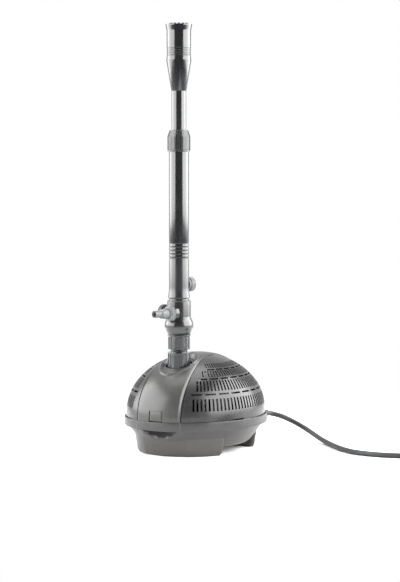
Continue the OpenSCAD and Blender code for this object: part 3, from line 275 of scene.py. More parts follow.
# Slot: name, darker and lighter shade, roughness, size and height of the grain in mm.
PLASTICS = {
    # Textured ABS: a broad, soft sheen.
    "cage_plastic": ("charcoal_abs_cage", "#272727", "#303030", 0.28, 0.8, 0.03),
    "saddle_plastic": ("grey_abs_saddle", "#373736", "#414140", 0.3, 0.8, 0.02),
    "knob_plastic": ("black_abs_knob", "#232527", "#2c2e30", 0.38, 0.6, 0.03),
    "jet_plastic": ("black_abs_jets", "#17181a", "#1f2022", 0.35, 0.6, 0.03),
    # Smooth moulded skins: clear bright bands with soft edges on the satin ones.
    "adapter_plastic": ("grey_polypropylene", "#2a2c2e", "#343638", 0.26, 0.7, 0.02),
    "tee_plastic": ("black_abs_tee", "#121315", "#191a1c", 0.26, 0.9, 0.02),
    "socket_plastic": ("satin_abs_socket", "#141618", "#1c1e20", 0.3, 0.8, 0.02),
    "tube_plastic": ("polished_pvc_tube", "#141517", "#1a1c1e", 0.2, 1.4, 0.008),
    # Acetal, resin and nylon: waxy or matt.
    "outlet_plastic": ("grey_acetal_outlet", "#66686a", "#747678", 0.38, 0.7, 0.03),
    "clamp_plastic": ("natural_acetal_ring", "#d6d5ce", "#e2e1db", 0.4, 0.7, 0.03),
    "motor_plastic": ("black_resin_motor", "#26282b", "#303336", 0.5, 1.2, 0.06),
    "volute_plastic": ("grey_nylon_volute", "#34373b", "#404347", 0.45, 0.9, 0.04),
    "impeller_plastic": ("grey_nylon_impeller", "#6f7376", "#7d8184", 0.4, 0.7, 0.03),
    # Ferrite is dull, and the ground ceramic shines.
    "magnet_ferrite": ("black_ferrite", "#2c2c2f", "#3a3a3d", 0.55, 0.5, 0.05),
    "shaft_ceramic": ("polished_alumina", "#e9e6dd", "#f3f1ea", 0.14, 0.5, 0.004),
    # Rubbers: matt and dark.
    "seal_rubber": ("black_nitrile_seal", "#141516", "#1e1f20", 0.55, 0.5, 0.03),
    "gland_rubber": ("black_rubber_gland", "#2b2c2e", "#36373a", 0.55, 0.6, 0.05),
    "cable_rubber": ("grey_rubber_cable", "#2e3032", "#38393b", 0.52, 1.0, 0.05),
    "plug_rubber": ("black_rubber_plug", "#26282a", "#313335", 0.55, 0.8, 0.05),
}
SATIN = {"Coat_Weight": 1.0, "Coat_Roughness": 0.22, "Coat_IOR": 1.45}
COATS = {
    "adapter_plastic": SATIN,
    "tee_plastic": SATIN,
    "socket_plastic": SATIN,
    "tube_plastic": {"Coat_Weight": 0.9, "Coat_Roughness": 0.12, "Coat_IOR": 1.5},
}
finish = {slot: moulded_plastic(*look, **COATS.get(slot, {})) for slot, look in PLASTICS.items()}
finish |= {
    "base_plastic": base_abs(),
    "core_steel": banded_metal(
        "laminated_steel", "Z", "#3d3d40", "#7c7c80", 0.4, Metallic=1.0, Roughness=0.5
    ),
    # Copper under amber enamel.
    "winding_wire": banded_metal(
        "enamelled_copper", "Y", "#4e2412", "#b8682f", 0.8, 0.2, Metallic=0.8, Roughness=0.32
    ),
    "screw_steel": drawn_metal("stainless_screw", "#9c9c9a", "#c8c8c6", 0.25),
    "pin_metal": drawn_metal("nickel_plated_pin", "#bdbab2", "#dedbd3", 0.18),
}

# Shapes


def grid_faces(rows, columns, wrap_rows=False, wrap_columns=False):
    """Quads of a grid whose points are numbered row by row; a wrapped side joins its last line to
    its first."""
    i, j = np.meshgrid(
        np.arange(rows if wrap_rows else rows - 1),
        np.arange(columns if wrap_columns else columns - 1),
        indexing="ij",
    )
    i2, j2 = (i + 1) % rows, (j + 1) % columns
    quads = np.stack([i * columns + j, i * columns + j2, i2 * columns + j2, i2 * columns + j], -1)
    return quads.reshape(-1, 4)


def together(*shapes):
    """One shape of several, each keeping its own faces."""
    counts = np.cumsum([0] + [len(p) for p, _ in shapes[:-1]])
    points = np.concatenate([p for p, _ in shapes])
    return points, np.concatenate([f + n for (_, f), n in zip(shapes, counts)])


def merged(points):
    """Joins points closer than half a micrometre: the first of each place, and each one's place."""
    keys = np.round(np.asarray(points) * 2000).astype(np.int64)
    _, first, place = np.unique(keys, axis=0, return_index=True, return_inverse=True)
    return first, place.reshape(-1)


def weld(points, faces):
    """Merges points that share a place. A quad that lost a corner becomes a triangle, and one that
    shrank to a line goes."""
    first, place = merged(points)
    faces = place[faces]
    same = faces == np.roll(faces, -1, axis=1)
    quads = faces[~same.any(1)]
    triangles = [faces[same[:, k] & (same.sum(1) == 1)][:, np.arange(4) != k] for k in range(4)]
    open_quad = (quads[:, 0] != quads[:, 2]) & (quads[:, 1] != quads[:, 3])
    return np.asarray(points)[first], quads[open_quad], np.concatenate(triangles)


def add_piece(name, shape, body, slot, *nodes):
    """Puts a shape into a mesh at the origin, smooth except at its sharp edges, in place of the
    CAD nodes."""
    points, quads, triangles = weld(*shape)
    mesh = bpy.data.meshes.new(name)
    mesh.from_pydata((points * MM).tolist(), [], quads.tolist() + triangles.tolist())
    mesh.polygons.foreach_set("use_smooth", np.ones(len(mesh.polygons), bool))
    mesh.set_sharp_from_angle(angle=SHARP_EDGE)
    mesh.materials.append(finish[slot])
    piece = new_object(name, mesh)
    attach(piece, body)
    if nodes:
        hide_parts(*nodes)
    return piece


SOFT_STEPS = 5


def soften(corners, steps=SOFT_STEPS):
    """Rounds a closed outline: each corner (x, y, reach) becomes a parabola that leaves its two
    sides at that reach, or at just under half of the shorter one."""
    corners = np.asarray(corners, float)
    here = corners[:, :2]
    back, on = np.roll(here, 1, 0) - here, np.roll(here, -1, 0) - here
    back_l, on_l = np.linalg.norm(back, axis=1), np.linalg.norm(on, axis=1)
    reach = np.minimum(corners[:, 2], 0.48 * np.minimum(back_l, on_l))[:, None]
    start, end = here + back / back_l[:, None] * reach, here + on / on_l[:, None] * reach
    t = np.linspace(0, 1, steps)[None, :, None]
    curve = (1 - t) ** 2 * start[:, None] + 2 * t * (1 - t) * here[:, None] + t**2 * end[:, None]
    return curve.reshape(-1, 2)


def arc(centre_z, r, low_angle, high_angle, rounding=0.0, steps=14):
    """Corners of an outline along a circle about the axis, from one elevation to another."""
    a = np.radians(np.linspace(low_angle, high_angle, steps))
    return [(r * math.cos(x), centre_z + r * math.sin(x), rounding) for x in a]


def lathe(outline, sides=96, cut=None):
    """Turns a closed outline of (radius, height), counter-clockwise, about Z: x = r cos a,
    y = r sin a. cut(angle, radius, height) is taken off the radius."""
    angle = np.arange(sides) * 2 * math.pi / sides
    r, z = outline[:, 0, None], outline[:, 1, None]
    r = r + 0 * angle - (0 if cut is None else cut(angle[None], r, z))
    points = np.stack([r * np.cos(angle), r * np.sin(angle), z + 0 * angle], -1).reshape(-1, 3)
    return points, grid_faces(len(outline), sides, True, True)


def quarter_round(gap, r):
    """How far a quarter circle of radius r lies under its corner, at a distance from the edge:
    r (1 - sqrt(1 - (1 - gap / r)^2))."""
    return r * (1 - np.sqrt(1 - np.clip(1 - gap / r, 0, 1) ** 2))


def placed(shape, at, along=UP):
    """Turns a shape made about Z so that Z points along a direction, and moves it to a place."""
    z = unit(along)
    x = unit(np.cross([0.0, 1.0, 0.0] if abs(z[1]) < 0.9 else [0.0, 0.0, 1.0], z))
    points, faces = shape
    return points @ np.stack([x, np.cross(z, x), z]) + np.asarray(at, float), faces


def turned(corners, sides=96, cut=None, at=RISER, along=UP):
    """A rounded outline turned about an axis, which is the riser's where none is given."""
    return placed(lathe(soften(corners), sides, cut), at, along)


def flutes(count, depth, low, high, share=0.42, ease=0.14, inner=4):
    """Straight grooves round a piece between two heights, outside the inner radius: each takes its
    share of the pitch, with flanks that take the ease on either side."""

    def cut(angle, r, z):
        turn = np.abs((angle * count / (2 * math.pi)) % 1 - 0.5) * 2
        wall = np.clip((turn - (1 - share - ease)) / ease, 0, 1)
        inside = np.clip((z - low) / 0.4, 0, 1) * np.clip((high - z) / 0.4, 0, 1)
        return depth * wall * inside * (r > inner)

    return cut


def knurls(count, depth, low, high, rise, inner=9.5):
    """Diamond knurls between two heights, outside the inner radius: the lower of two crossing
    triangle waves that climb one pitch in the rise stands proud, the rest is cut away."""

    def cut(angle, r, z):
        turn = angle * count / (2 * math.pi)
        waves = [np.abs((turn + way * z / rise) % 1 - 0.5) * 2 for way in (1, -1)]
        inside = np.clip((z - low) / 0.3, 0, 1) * np.clip((high - z) / 0.3, 0, 1)
        return depth * (1 - np.minimum(*waves)) * inside * (r > inner)

    return cut


def groove(r, z, width=1.4, depth=0.7):
    """Corners of a square groove in an outer wall, from its lower lip to its upper lip."""
    floor = [(r - depth, z + 0.2, 0.25), (r - depth, z + width - 0.2, 0.25)]
    return [(r, z, 0.25), *floor, (r, z + width, 0.25)]


def upright(r, low, high, step):
    """Corners up a straight wall, so that a cut in it has rows to follow."""
    return [(r, z, 0) for z in np.linspace(low, high, max(2, int((high - low) / step) + 1))]


def tube_along(path, r, sides=12):
    """Carries a circle along a path that never runs upright: its side lies level, square to the
    path, and the ends are closed by a point in their middle."""
    along = np.gradient(path, axis=0)
    along /= np.linalg.norm(along, axis=1)[:, None]
    side = np.cross(along, UP)
    side /= np.linalg.norm(side, axis=1)[:, None]
    top = np.cross(side, along)
    a = np.arange(sides) * 2 * math.pi / sides
    rings = path[:, None] + r * (
        np.sin(a)[None, :, None] * side[:, None] - np.cos(a)[None, :, None] * top[:, None]
    )
    first, last = np.repeat(path[:1], sides, 0), np.repeat(path[-1:], sides, 0)
    points = np.concatenate([first, rings.reshape(-1, 3), last])
    faces = grid_faces(len(path) + 2, sides, False, True)
    return points, faces[:, ::-1]


def smooth_route(points, per_span=6):
    """A Catmull-Rom curve through the points: each span is a cubic with its ends' mean slopes."""
    p = np.asarray(points, float)
    p = np.concatenate([[2 * p[0] - p[1]], p, [2 * p[-1] - p[-2]]])
    a, b, c, d = (p[k : len(p) - 3 + k, None] for k in range(4))
    t = (np.arange(per_span) / per_span)[None, :, None]
    curve = 0.5 * (
        2 * b + (c - a) * t + (2 * a - 5 * b + 4 * c - d) * t**2 + (3 * b - a - 3 * c + d) * t**3
    )
    return np.concatenate([curve.reshape(-1, 3), p[-2:-1]])


def wall_of(outer, inner, keep):
    """A shell between two grids of points: quads where keep is true, outside on the first grid,
    and a wall round every edge that only one kept quad has."""
    quads = grid_faces(*outer.shape[:2])[keep.reshape(-1)]
    flat = outer.reshape(-1, 3)
    first, place = merged(flat)
    quads = first[place][quads]
    good = (quads[:, 0] != quads[:, 2]) & (quads[:, 1] != quads[:, 3])
    folded = (quads == np.roll(quads, -1, axis=1)).sum(1) > 1
    quads = quads[good & ~folded]
    edges = np.stack([quads, np.roll(quads, -1, axis=1)], -1).reshape(-1, 2)
    edges = edges[edges[:, 0] != edges[:, 1]]
    shift = len(flat)
    code = np.sort(edges, 1) @ np.array([shift, 1])
    _, where, times = np.unique(code, return_inverse=True, return_counts=True)
    rim = edges[times[where.reshape(-1)] == 1]
    sides = np.stack([rim[:, 1], rim[:, 0], rim[:, 0] + shift, rim[:, 1] + shift], -1)
    faces = np.concatenate([quads, quads[:, ::-1] + shift, sides])
    return np.concatenate([flat, inner.reshape(-1, 3)]), faces


# Base


def scooped(points, grow):
    """Presses the front wall back to an upright ellipsoid's far side: the finger recess. Each
    point slides towards the base's middle until it leaves the ellipsoid."""
    half_w, depth, flat_share = 24, 7, 0.5
    r = (half_w**2 + depth**2) / (2 * depth)
    centre_y = -0.875 * RIM_R * PLAN_RATIO - r + depth
    x, y, z = points.T
    c = centre_y**2 + ((z - RIM_LOW) / flat_share) ** 2 - (r + grow) ** 2
    a, b = x**2 + y**2, -2 * y * centre_y
    root = b**2 - 4 * a * c
    near = (-b - np.sqrt(np.maximum(root, 0))) / (2 * np.maximum(a, 1e-9))
    far = (-b + np.sqrt(np.maximum(root, 0))) / (2 * np.maximum(a, 1e-9))
    low = BOWL_LOW + BASE_WALL / 2
    hit = (root > 0) & (near > 0) & (near < 1) & (far > 1) & (z < RIM_LOW - 0.05) & (z > low)
    share = np.where(hit, near, 1)
    return np.stack([x * share, y * share, z], -1)


RIM_SIDES, PANEL_HALF, PANEL_PROUD = 576, 33, 1.4
# Half the width of the gap in the base's tongue, where the latch swings in.
POCKET_HALF = 10.9


def bowl():
    """The bowl with its rim band and tongue: an outline turned about Z, stretched along Y, then
    pressed in at the finger recess. The front panel of the rim stands proud of what is beside it,
    and the tongue is lowered at the pry notches and left out behind the latch."""
    inner_r, channel_r, tongue_r, tongue_in = RIM_R - BASE_WALL, 91.2, 87.4, 85.4
    low_r, high_r, floor = 69.2, 86.3, BOWL_LOW + BASE_WALL
    notch_from, notch_to, notch_depth = -27.5, -13.2, 0.9
    outside = [
        (0, BOWL_LOW, 0), (50, BOWL_LOW, 0), (low_r, BOWL_LOW, 5), (75.9, 19.6, 0.5),
        (79.2, 24.2, 0.5), (82.4, 28.8, 0.5), (85.6, 33.4, 0.5), (high_r, 34.4, 3),
        (87.6, RIM_LOW, 0.6), (RIM_R, RIM_LOW, 1.1), (RIM_R, 42, 0.2), (RIM_R, RIM_HIGH, 0.9),
        (channel_r, RIM_HIGH, 0.4), (channel_r, RIM_HIGH - 1, 0.1), (tongue_r, RIM_HIGH - 1, 0.2),
        (tongue_r, RIM_HIGH + 3, 0.5), (tongue_in, RIM_HIGH + 3, 0.5),
        (tongue_in, RIM_HIGH - 2, 0.3), (inner_r, RIM_HIGH - 2, 0.3),
    ]
    inside = [
        (inner_r, RIM_LOW + BASE_WALL, 1), (high_r - BASE_WALL, 36, 2),
        (low_r - BASE_WALL, floor, 4), (0, floor, 0),
    ]
    outline = soften(outside + inside)
    points, faces = lathe(outline, RIM_SIDES)
    points[:, 1] *= PLAN_RATIO
    inner = np.repeat(np.arange(len(outline)) >= SOFT_STEPS * len(outside), RIM_SIDES)
    pressed = np.where(inner[:, None], scooped(points, BASE_WALL), scooped(points, 0))
    across, front, height = np.abs(pressed[:, 0]), pressed[:, 1] < 0, pressed[:, 2]
    step_w, ramp_end, ramp_w, ramp_low, ramp_h = 1.5, 30, 26, 24, 14
    beside = np.clip((across - PANEL_HALF) / step_w, 0, 1)
    beside *= np.clip((PANEL_HALF + ramp_end - across) / ramp_w, 0, 1)
    beside *= np.clip((height - ramp_low) / ramp_h, 0, 1) * front * ~inner
    pressed[:, :2] *= 1 - PANEL_PROUD / RIM_R * beside[:, None]
    turn = np.degrees(np.arctan2(pressed[:, 1] / PLAN_RATIO, across))
    notch = (turn > notch_from) & (turn < notch_to) & (height > RIM_HIGH + 0.2)
    pressed[notch, 2] = RIM_HIGH - notch_depth
    r = np.hypot(pressed[:, 0], pressed[:, 1] / PLAN_RATIO)
    pocket = (across < POCKET_HALF) & front & (r < inner_r - 0.01) & (height > RIM_HIGH - 2.5)
    depth, z = inner_r - r[pocket], pressed[pocket, 2]
    pressed[pocket, :2] *= ((inner_r - 0.01 * depth) / r[pocket])[:, None]
    pressed[pocket, 2] = np.minimum(z, RIM_HIGH - 1 + 0.01 * (z - RIM_HIGH))
    return pressed, faces


def foot(end):
    """One hollow foot: a ring's outline carried round the oval as far as the side arch. Its ends
    draw in so that their upright edges are round, and the pocket stops short of them."""
    top, out_r, in_r, wall, pocket, corner, pocket_stop, lean_l = 26, 74.1, 50, 3, 7, 6, 6.2, 20
    outline = soften([
        (out_r, 0, 1.0), (74.7, 1.2, 0.3), (75.1, 2.4, 0.5), (75.6, 3.6, 0.5), (76.2, 6, 0.5),
        (79.6, top, 0.3), (in_r, top, 0.3), (in_r, 0, 0.8), (in_r + wall, 0, 0.5),
        (in_r + wall, pocket, 0.8), (out_r - wall, pocket, 0.8), (out_r - wall, 0, 0.5),
    ])
    r, z = outline[:, 0, None], outline[:, 1, None]
    inward = [0, 0, 0.15, 0.4, 0.8, 1.4, 2.3, 3.5, 5, 6, 6.4, 9, 12, *np.linspace(16, 70, 24)]
    inward = np.array([*inward, ARCH_HALF * 2, *inward[::-1]])
    column, half = np.arange(len(inward)), len(inward) // 2
    in_pocket = (z > 1) & (z < pocket + 1) & (r > in_r + 1) & (r < out_r - 1)
    outer_wall = (r > out_r - 0.1) & (z < top)
    r = np.where(outer_wall, r - quarter_round(inward, corner), r + 0 * inward)
    z = np.where(in_pocket & (inward < pocket_stop), 0.05, z + 0 * inward)
    reach = np.arccos(np.clip(ARCH_HALF / (PLAN_RATIO * r), -1, 1))
    lean = quarter_round(z, corner) * 5 / 6 * np.clip(1 - inward / lean_l, 0, 1)
    share = np.clip((inward + lean) / (PLAN_RATIO * RIM_R), 0, 1)
    angle = np.sign(half - column) * reach * (1 - share)
    points = np.stack([r * np.sin(angle), -end * PLAN_RATIO * r * np.cos(angle), z], -1)
    points[:, [0, -1]] = points[:, [0, -1]].mean(0)
    faces = grid_faces(*points.shape[:2], True, False)
    return points.reshape(-1, 3), faces if end > 0 else faces[:, ::-1]


def post(x, y, top):
    """A post for one of the motor's screws, with its blind hole."""
    low, r, hole_r, hole_z = 11, 4.5, 2.2, top - 8
    return turned([
        (0, low, 0), (r, low, 0), (r, top, 0.5), (hole_r, top, 0.3), (hole_r, hole_z, 0),
        (0, hole_z, 0),
    ], 32, at=(x, y, 0))


def base_shell():
    low, high = box_mm("motor_screws")
    top = box_mm("motor_housing")[0][2] - 0.3
    posts = [post(x, y, top) for x in (low[0] + 4, high[0] - 4) for y in (low[1] + 4, high[1] - 4)]
    shape = together(bowl(), foot(1), foot(-1), *posts)
    add_piece("base_shell_moulding", shape, "base", "base_plastic", "base_shell")


# Cover


def saddle_half(y):
    """Half-width of the saddle: an S-curve from the waist to the front and to the back rim."""
    y = np.asarray(y, float)
    run = np.where(y < SADDLE_WAIST_Y, SADDLE_FRONT_RUN, SADDLE_BACK_RUN)
    t = np.clip(np.abs(y - SADDLE_WAIST_Y) / run, 0, 1)
    blend = np.sin(math.pi / 2 * t) / 2 + (1 - np.cos(math.pi * t)) / 4
    return SADDLE_WAIST_HALF + (SADDLE_HALF - SADDLE_WAIST_HALF) * blend


def dome_grid(share, angle, offset):
    """Points on the dome: share is the height over its rise (below zero on its straight foot),
    angle turns from +X towards +Y, and both half-axes grow by the offset."""
    up = np.clip(share, 0, 1)
    r = (COVER_R + offset) * np.sqrt(1 - up**2)
    z = DOME_LOW + (COVER_RISE + offset) * up + COVER_RISE * np.minimum(share, 0)
    return np.stack(np.broadcast_arrays(r * np.cos(angle), PLAN_RATIO * r * np.sin(angle), z), -1)


SLOT_COUNT = 36
SLOT_PITCH = math.radians(120 / SLOT_COUNT)
SLOT_WIDTH_SHARE = 0.48
SLOT_ROW_SHARES = ((0.13, 0.331, 0), (0.455, 0.617, 1), (0.675, 0.765, 3), (0.806, 0.868, 5))
DASH_ROW_SHARES = ((0.402, 28), (0.643, 33), (0.782, 46))
DASH_L, DASH_W, DASH_PITCH_SHARE = 15, 2.3, 1.3
NOTCH_TURN, NOTCH_HALF, NOTCH_H = math.radians(-20.3), 13, 2.6


def slot_spans(skipped):
    """Start and end angle of each slot of a row."""
    middle = (np.arange(skipped, SLOT_COUNT - skipped) - (SLOT_COUNT - 1) / 2) * SLOT_PITCH
    half = SLOT_PITCH * SLOT_WIDTH_SHARE / 2
    return np.stack([middle - half, middle + half], -1)


def dash_spans(first_angle):
    """Start and end angle of each dash of a row."""
    length = 2 * math.asin(DASH_L / 2 / COVER_R)
    count = int((math.pi - 2 * math.radians(first_angle)) / (length * DASH_PITCH_SHARE))
    middle = (np.arange(count) - (count - 1) / 2) * length * DASH_PITCH_SHARE
    return np.stack([middle - length / 2, middle + length / 2], -1)


def seam_angles(share):
    """First and last angle at which a height lies outside the saddle and its seam."""
    steps = 2880
    angle = np.linspace(-math.pi / 2, math.pi / 2, steps + 1)
    x, y, _ = np.moveaxis(dome_grid(share[:, None], angle[None], 0), -1, 0)
    free = x > saddle_half(y) + SADDLE_SEAM
    first = np.where(free.any(1), free.argmax(1), steps // 2)
    last = np.where(free.any(1), steps - free[:, ::-1].argmax(1), steps // 2)
    return angle[first], angle[last]


def cage():
    """The right cage: a grid of heights and angles on the dome, its ends drawn in to the saddle's
    seam, with the quads left out where a slot or a dash goes through."""
    row_step, top = 0.022, (0.9, 0.935, 0.955, 0.968)
    bands = [(low, high, slot_spans(skipped)) for low, high, skipped in SLOT_ROW_SHARES]
    for share, first_angle in DASH_ROW_SHARES:
        half = DASH_W / 2 / COVER_RISE * math.sqrt(1 - share**2)
        bands.append((share - half, share + half, dash_spans(first_angle)))
    foot_share = (COVER_LOW - DOME_LOW) / COVER_RISE
    edges = sorted({e for low, high, _ in bands for e in (low, high)})
    stops = [foot_share, 0.0, *edges, *top]
    rows = np.concatenate([
        *(np.linspace(a, b, int((b - a) / row_step) + 2)[:-1] for a, b in zip(stops, stops[1:])),
        stops[-1:],
    ])
    spans = np.concatenate([s.reshape(-1) for _, _, s in bands])
    margin = np.radians(np.arange(60, 90, 1.5))
    notch = NOTCH_TURN + np.linspace(-1, 1, 15) * NOTCH_HALF / COVER_R / PLAN_RATIO
    columns = np.unique(np.round(np.concatenate([spans, margin, -margin, notch]), 5))
    first, last = seam_angles(rows)
    angle = np.clip(columns[None], first[:, None], last[:, None])
    mid_row, mid_column = (rows[1:] + rows[:-1]) / 2, (columns[1:] + columns[:-1]) / 2
    keep = np.ones((len(rows) - 1, len(columns) - 1), bool)
    for low, high, span in bands:
        crossed = ((mid_column[:, None] > span[:, 0]) & (mid_column[:, None] < span[:, 1])).any(1)
        keep &= ~(((mid_row > low) & (mid_row < high))[:, None] & crossed[None])
    outer = dome_grid(rows[:, None], angle, 0)
    inner = dome_grid(rows[:, None], angle, -COVER_WALL)
    along = (angle[0] - NOTCH_TURN) * COVER_R * PLAN_RATIO / NOTCH_HALF
    rise = NOTCH_H * np.sqrt(np.clip(1 - along**2, 0, 1)) * (0.6 + 0.4 * np.clip(along, -1, 1))
    for skin in (outer, inner):
        skin[0, :, 2] += rise
    return wall_of(outer, inner, keep)


DISH_HALF_X, DISH_HALF_Y, DISH_WALL_SHARE = 22, 32, 0.18
DISH_FRONT, DISH_BACK, DISH_SLOPE_HALF = 2.6, 5.6, 0.55
DISH_BEAD, BEAD_AT, BEAD_WIDTH = 1.4, 1.03, 0.04


def dished(points, bead):
    """Lowers the skin round the outlet. Inside an oval the depth grows from front to back, so that
    the floor lies flatter than the dome, and a bead (a bell curve) stands on the oval's edge."""
    along = (points[..., 1] - RISER_Y) / DISH_HALF_Y
    edge = np.hypot(points[..., 0] / DISH_HALF_X, along)
    wall = np.clip((1 - edge) / DISH_WALL_SHARE, 0, 1)
    back = np.clip((along / DISH_SLOPE_HALF + 1) / 2, 0, 1)
    depth = DISH_FRONT + (DISH_BACK - DISH_FRONT) * back
    stand = bead * np.exp(-(((edge - BEAD_AT) / BEAD_WIDTH) ** 2))
    lift = stand - depth * wall**2 * (3 - 2 * wall)
    return points + lift[..., None] * UP


FOOT_TURN = math.radians(2.35)
LATCH_HALF, LATCH_TOP, LATCH_PLAY = 9.5, 62.9, 0.1
LATCH_TURN = math.asin((LATCH_TOP + LATCH_PLAY - DOME_LOW) / COVER_RISE)
HOLE_R, LIP_DROP = 18, 2.6


def on_saddle(turn, lateral, offset):
    """A point at a turn from the front rim over the top and at a lateral angle towards +X: a
    sphere's point, stretched to the dome. Below the dome the skin goes straight down."""
    over = np.clip(turn, 0, math.pi)
    r = COVER_R + offset
    x = r * np.sin(lateral)
    y = -PLAN_RATIO * r * np.cos(over) * np.cos(lateral)
    z = DOME_LOW + r * COVER_RISE / COVER_R * np.sin(over) * np.cos(lateral)
    below = np.maximum(np.maximum(-turn, turn - math.pi), 0) / FOOT_TURN
    return np.stack(np.broadcast_arrays(x, y, z - below * (DOME_LOW - COVER_LOW)), -1)


def saddle():
    """The band over the dome: its half-width follows the S-curve, its edges are rounded, the dish
    is pressed in, and the outlet's hole and the latch's pocket are left out. Its grid is the turn
    along the band by the lateral angle, with close columns at the edges."""
    turn = np.concatenate([
        np.linspace(-FOOT_TURN, 0, 4)[:-1], np.linspace(0, LATCH_TURN, 9)[:-1],
        np.linspace(LATCH_TURN, math.pi, 340)[:-1], math.pi + np.linspace(0, FOOT_TURN, 4),
    ])[:, None]
    edge_mm = np.array([0, 0.15, 0.4, 0.8, 1.3, 1.9, 2.6, 3.3, 4])
    edge, limit = edge_mm / COVER_R, 0.3
    for _ in range(30):
        y = -PLAN_RATIO * COVER_R * np.cos(np.clip(turn, 0, math.pi)) * np.cos(limit)
        limit = np.arcsin(saddle_half(y) / COVER_R)
    middle = np.linspace(-1, 1, 71) * (limit - edge[-1])
    lateral = np.concatenate([edge[:-1] - limit, middle, limit - edge[-2::-1]], 1)
    pocket, centre = LATCH_HALF + 0.5, lateral.shape[1] // 2
    beside = turn[:, 0] < LATCH_TURN + 1e-4
    reach = round(pocket / COVER_R / (middle[0, 1] - middle[0, 0]))
    for side in (-1, 1):
        lateral[beside, centre + side * reach] = side * math.asin(pocket / COVER_R)
    from_edge = (limit - np.abs(lateral)) * COVER_R
    rounding = LIP_DROP * np.clip(1 - from_edge / edge_mm[-1], 0, 1) ** 1.5
    outer = dished(on_saddle(turn, lateral, SADDLE_PROUD - rounding), DISH_BEAD)
    inner = dished(on_saddle(turn, lateral, -COVER_WALL), 0)
    away = outer[..., :2] - RISER[:2]
    distance = np.linalg.norm(away, axis=-1)
    inside = (distance < HOLE_R) & (outer[..., 2] > DOME_LOW)
    snap = np.where(inside, HOLE_R / np.maximum(distance, 0.1), 1)[..., None]
    outer[..., :2] = RISER[:2] + away * snap
    inner[..., :2] = np.where(inside[..., None], outer[..., :2], inner[..., :2])
    hole = inside[1:, 1:] & inside[1:, :-1] & inside[:-1, 1:] & inside[:-1, :-1]
    column = np.arange(lateral.shape[1] - 1)
    behind_latch = (column >= centre - reach) & (column < centre + reach) & beside[1:, None]
    points, faces = wall_of(outer, inner, ~(hole | behind_latch))
    return points, faces[:, ::-1]


def latch():
    """The tab: a patch of the saddle's skin with rounded edges, and the hook behind it."""
    left, right, bottom, corner, hook_half = -LATCH_HALF, LATCH_HALF + 0.3, 49.4, 0.9, 4.75
    edge = np.array([0, 0.1, 0.4, corner])
    x = np.concatenate([left + edge, np.linspace(-7.5, 7.5, 11), right - edge[::-1]])
    z = np.concatenate([bottom + edge, np.linspace(51.5, LATCH_TOP, 10)])
    z, x = np.meshgrid(z, x, indexing="ij")
    rounding = quarter_round(np.minimum(np.minimum(x - left, right - x), z - bottom), corner)

    def skin(offset):
        """The front of the dome over each x and height, grown by the offset."""
        up = np.clip((z - DOME_LOW) / (COVER_RISE + offset), 0, 1)
        r = (COVER_R + offset) * np.sqrt(1 - up**2)
        return np.stack([x, -PLAN_RATIO * np.sqrt(r**2 - x**2), z], -1)

    front, back = skin(SADDLE_PROUD - 0.2 - rounding), skin(0.1 - COVER_WALL)
    tab = wall_of(front, back, np.ones((z.shape[0] - 1, z.shape[1] - 1), bool))
    y, low, high = 0.5 - (RIM_R - BASE_WALL) * PLAN_RATIO, heights("front_latch")[0], 52
    hook = soften([(y, low, 0.5), (y + 2, low + 1, 0.6), (y + 2, high, 0.3), (y, high, 0.3)])
    ends = np.array([(-hook_half, 0), (-hook_half, 1), (hook_half, 1), (hook_half, 0)])
    middle = hook.mean(0)
    section = middle + (hook[:, None] - middle) * ends[:, 1:]
    across = np.broadcast_to(ends[:, :1], (len(hook), len(ends), 1))
    points = np.concatenate([across, section], -1).reshape(-1, 3)
    return together(tab, (points, grid_faces(len(hook), len(ends), True, False)[:, ::-1]))


def cover():
    points, faces = cage()
    mirrored = points * [-1, 1, 1], faces[:, ::-1]
    add_piece("cage_right_grille", (points, faces), "cover", "cage_plastic", "cage_right")
    add_piece("cage_left_grille", mirrored, "cover", "cage_plastic", "cage_left")
    add_piece("saddle_band", saddle(), "cover", "saddle_plastic", "saddle_cover")
    add_piece("front_latch_tab", latch(), "latch", "saddle_plastic", "front_latch")


# Outlet, ball joint and tee


def adapter():
    """Ribbed socket with its threaded neck: the thread is drawn as rings 2 mm apart."""
    bottom, neck_top = heights("outlet_adapter")
    top, r, neck_r, bore_r, seat_r, seat_z = bottom + 39, 15.5, 11, 9, 12.2, bottom + 8
    thread = []
    for z in np.arange(top + 0.6, neck_top - 1.2, 2.0):
        thread += [(neck_r, z, 0.1), (neck_r + 0.9, z + 0.7, 0.15), (neck_r, z + 1.4, 0.1)]
    shape = turned([
        (seat_r, bottom, 0.2), (r, bottom, 0.6), *upright(r, bottom + 1.2, top - 1.2, 1),
        (r, top, 0.8), (neck_r, top, 0.3), *thread, (neck_r, neck_top, 0.3),
        (bore_r, neck_top, 0.2), (bore_r, seat_z, 0.2), (seat_r, seat_z, 0.2),
    ], 336, flutes(14, 0.9, bottom - 1, top - 1))
    add_piece("outlet_adapter_ribbed", shape, "base", "adapter_plastic", "outlet_adapter")


def union_nut():
    """Ribbed nut: straight ribs under a plain lip, and a hollow top that clears the bulb."""
    bottom, top = heights("union_nut")
    r, lip_r, bore_r, stem_r, hollow_r = 14.8, 15.9, 12.2, 10.1, 20
    lip_low, shoulder = 160.15, 152.5
    shape = turned([
        (bore_r, bottom, 0.3), (r, bottom, 0.6), *upright(r, bottom + 1.2, lip_low - 2.4, 1),
        (r, lip_low - 2, 0.3), (lip_r, lip_low - 1.2, 0.6), (lip_r, top - 0.1, 0.4),
        *arc(BALL_Z, hollow_r, -37.8, -58, 0, 8), (stem_r, shoulder + 1.2, 0.2),
        (stem_r, shoulder, 0.2), (bore_r, shoulder, 0.2),
    ], 336, flutes(14, 0.9, bottom - 1, lip_low - 2, inner=14))
    add_piece("union_nut_ribbed", shape, "nut", "adapter_plastic", "union_nut")


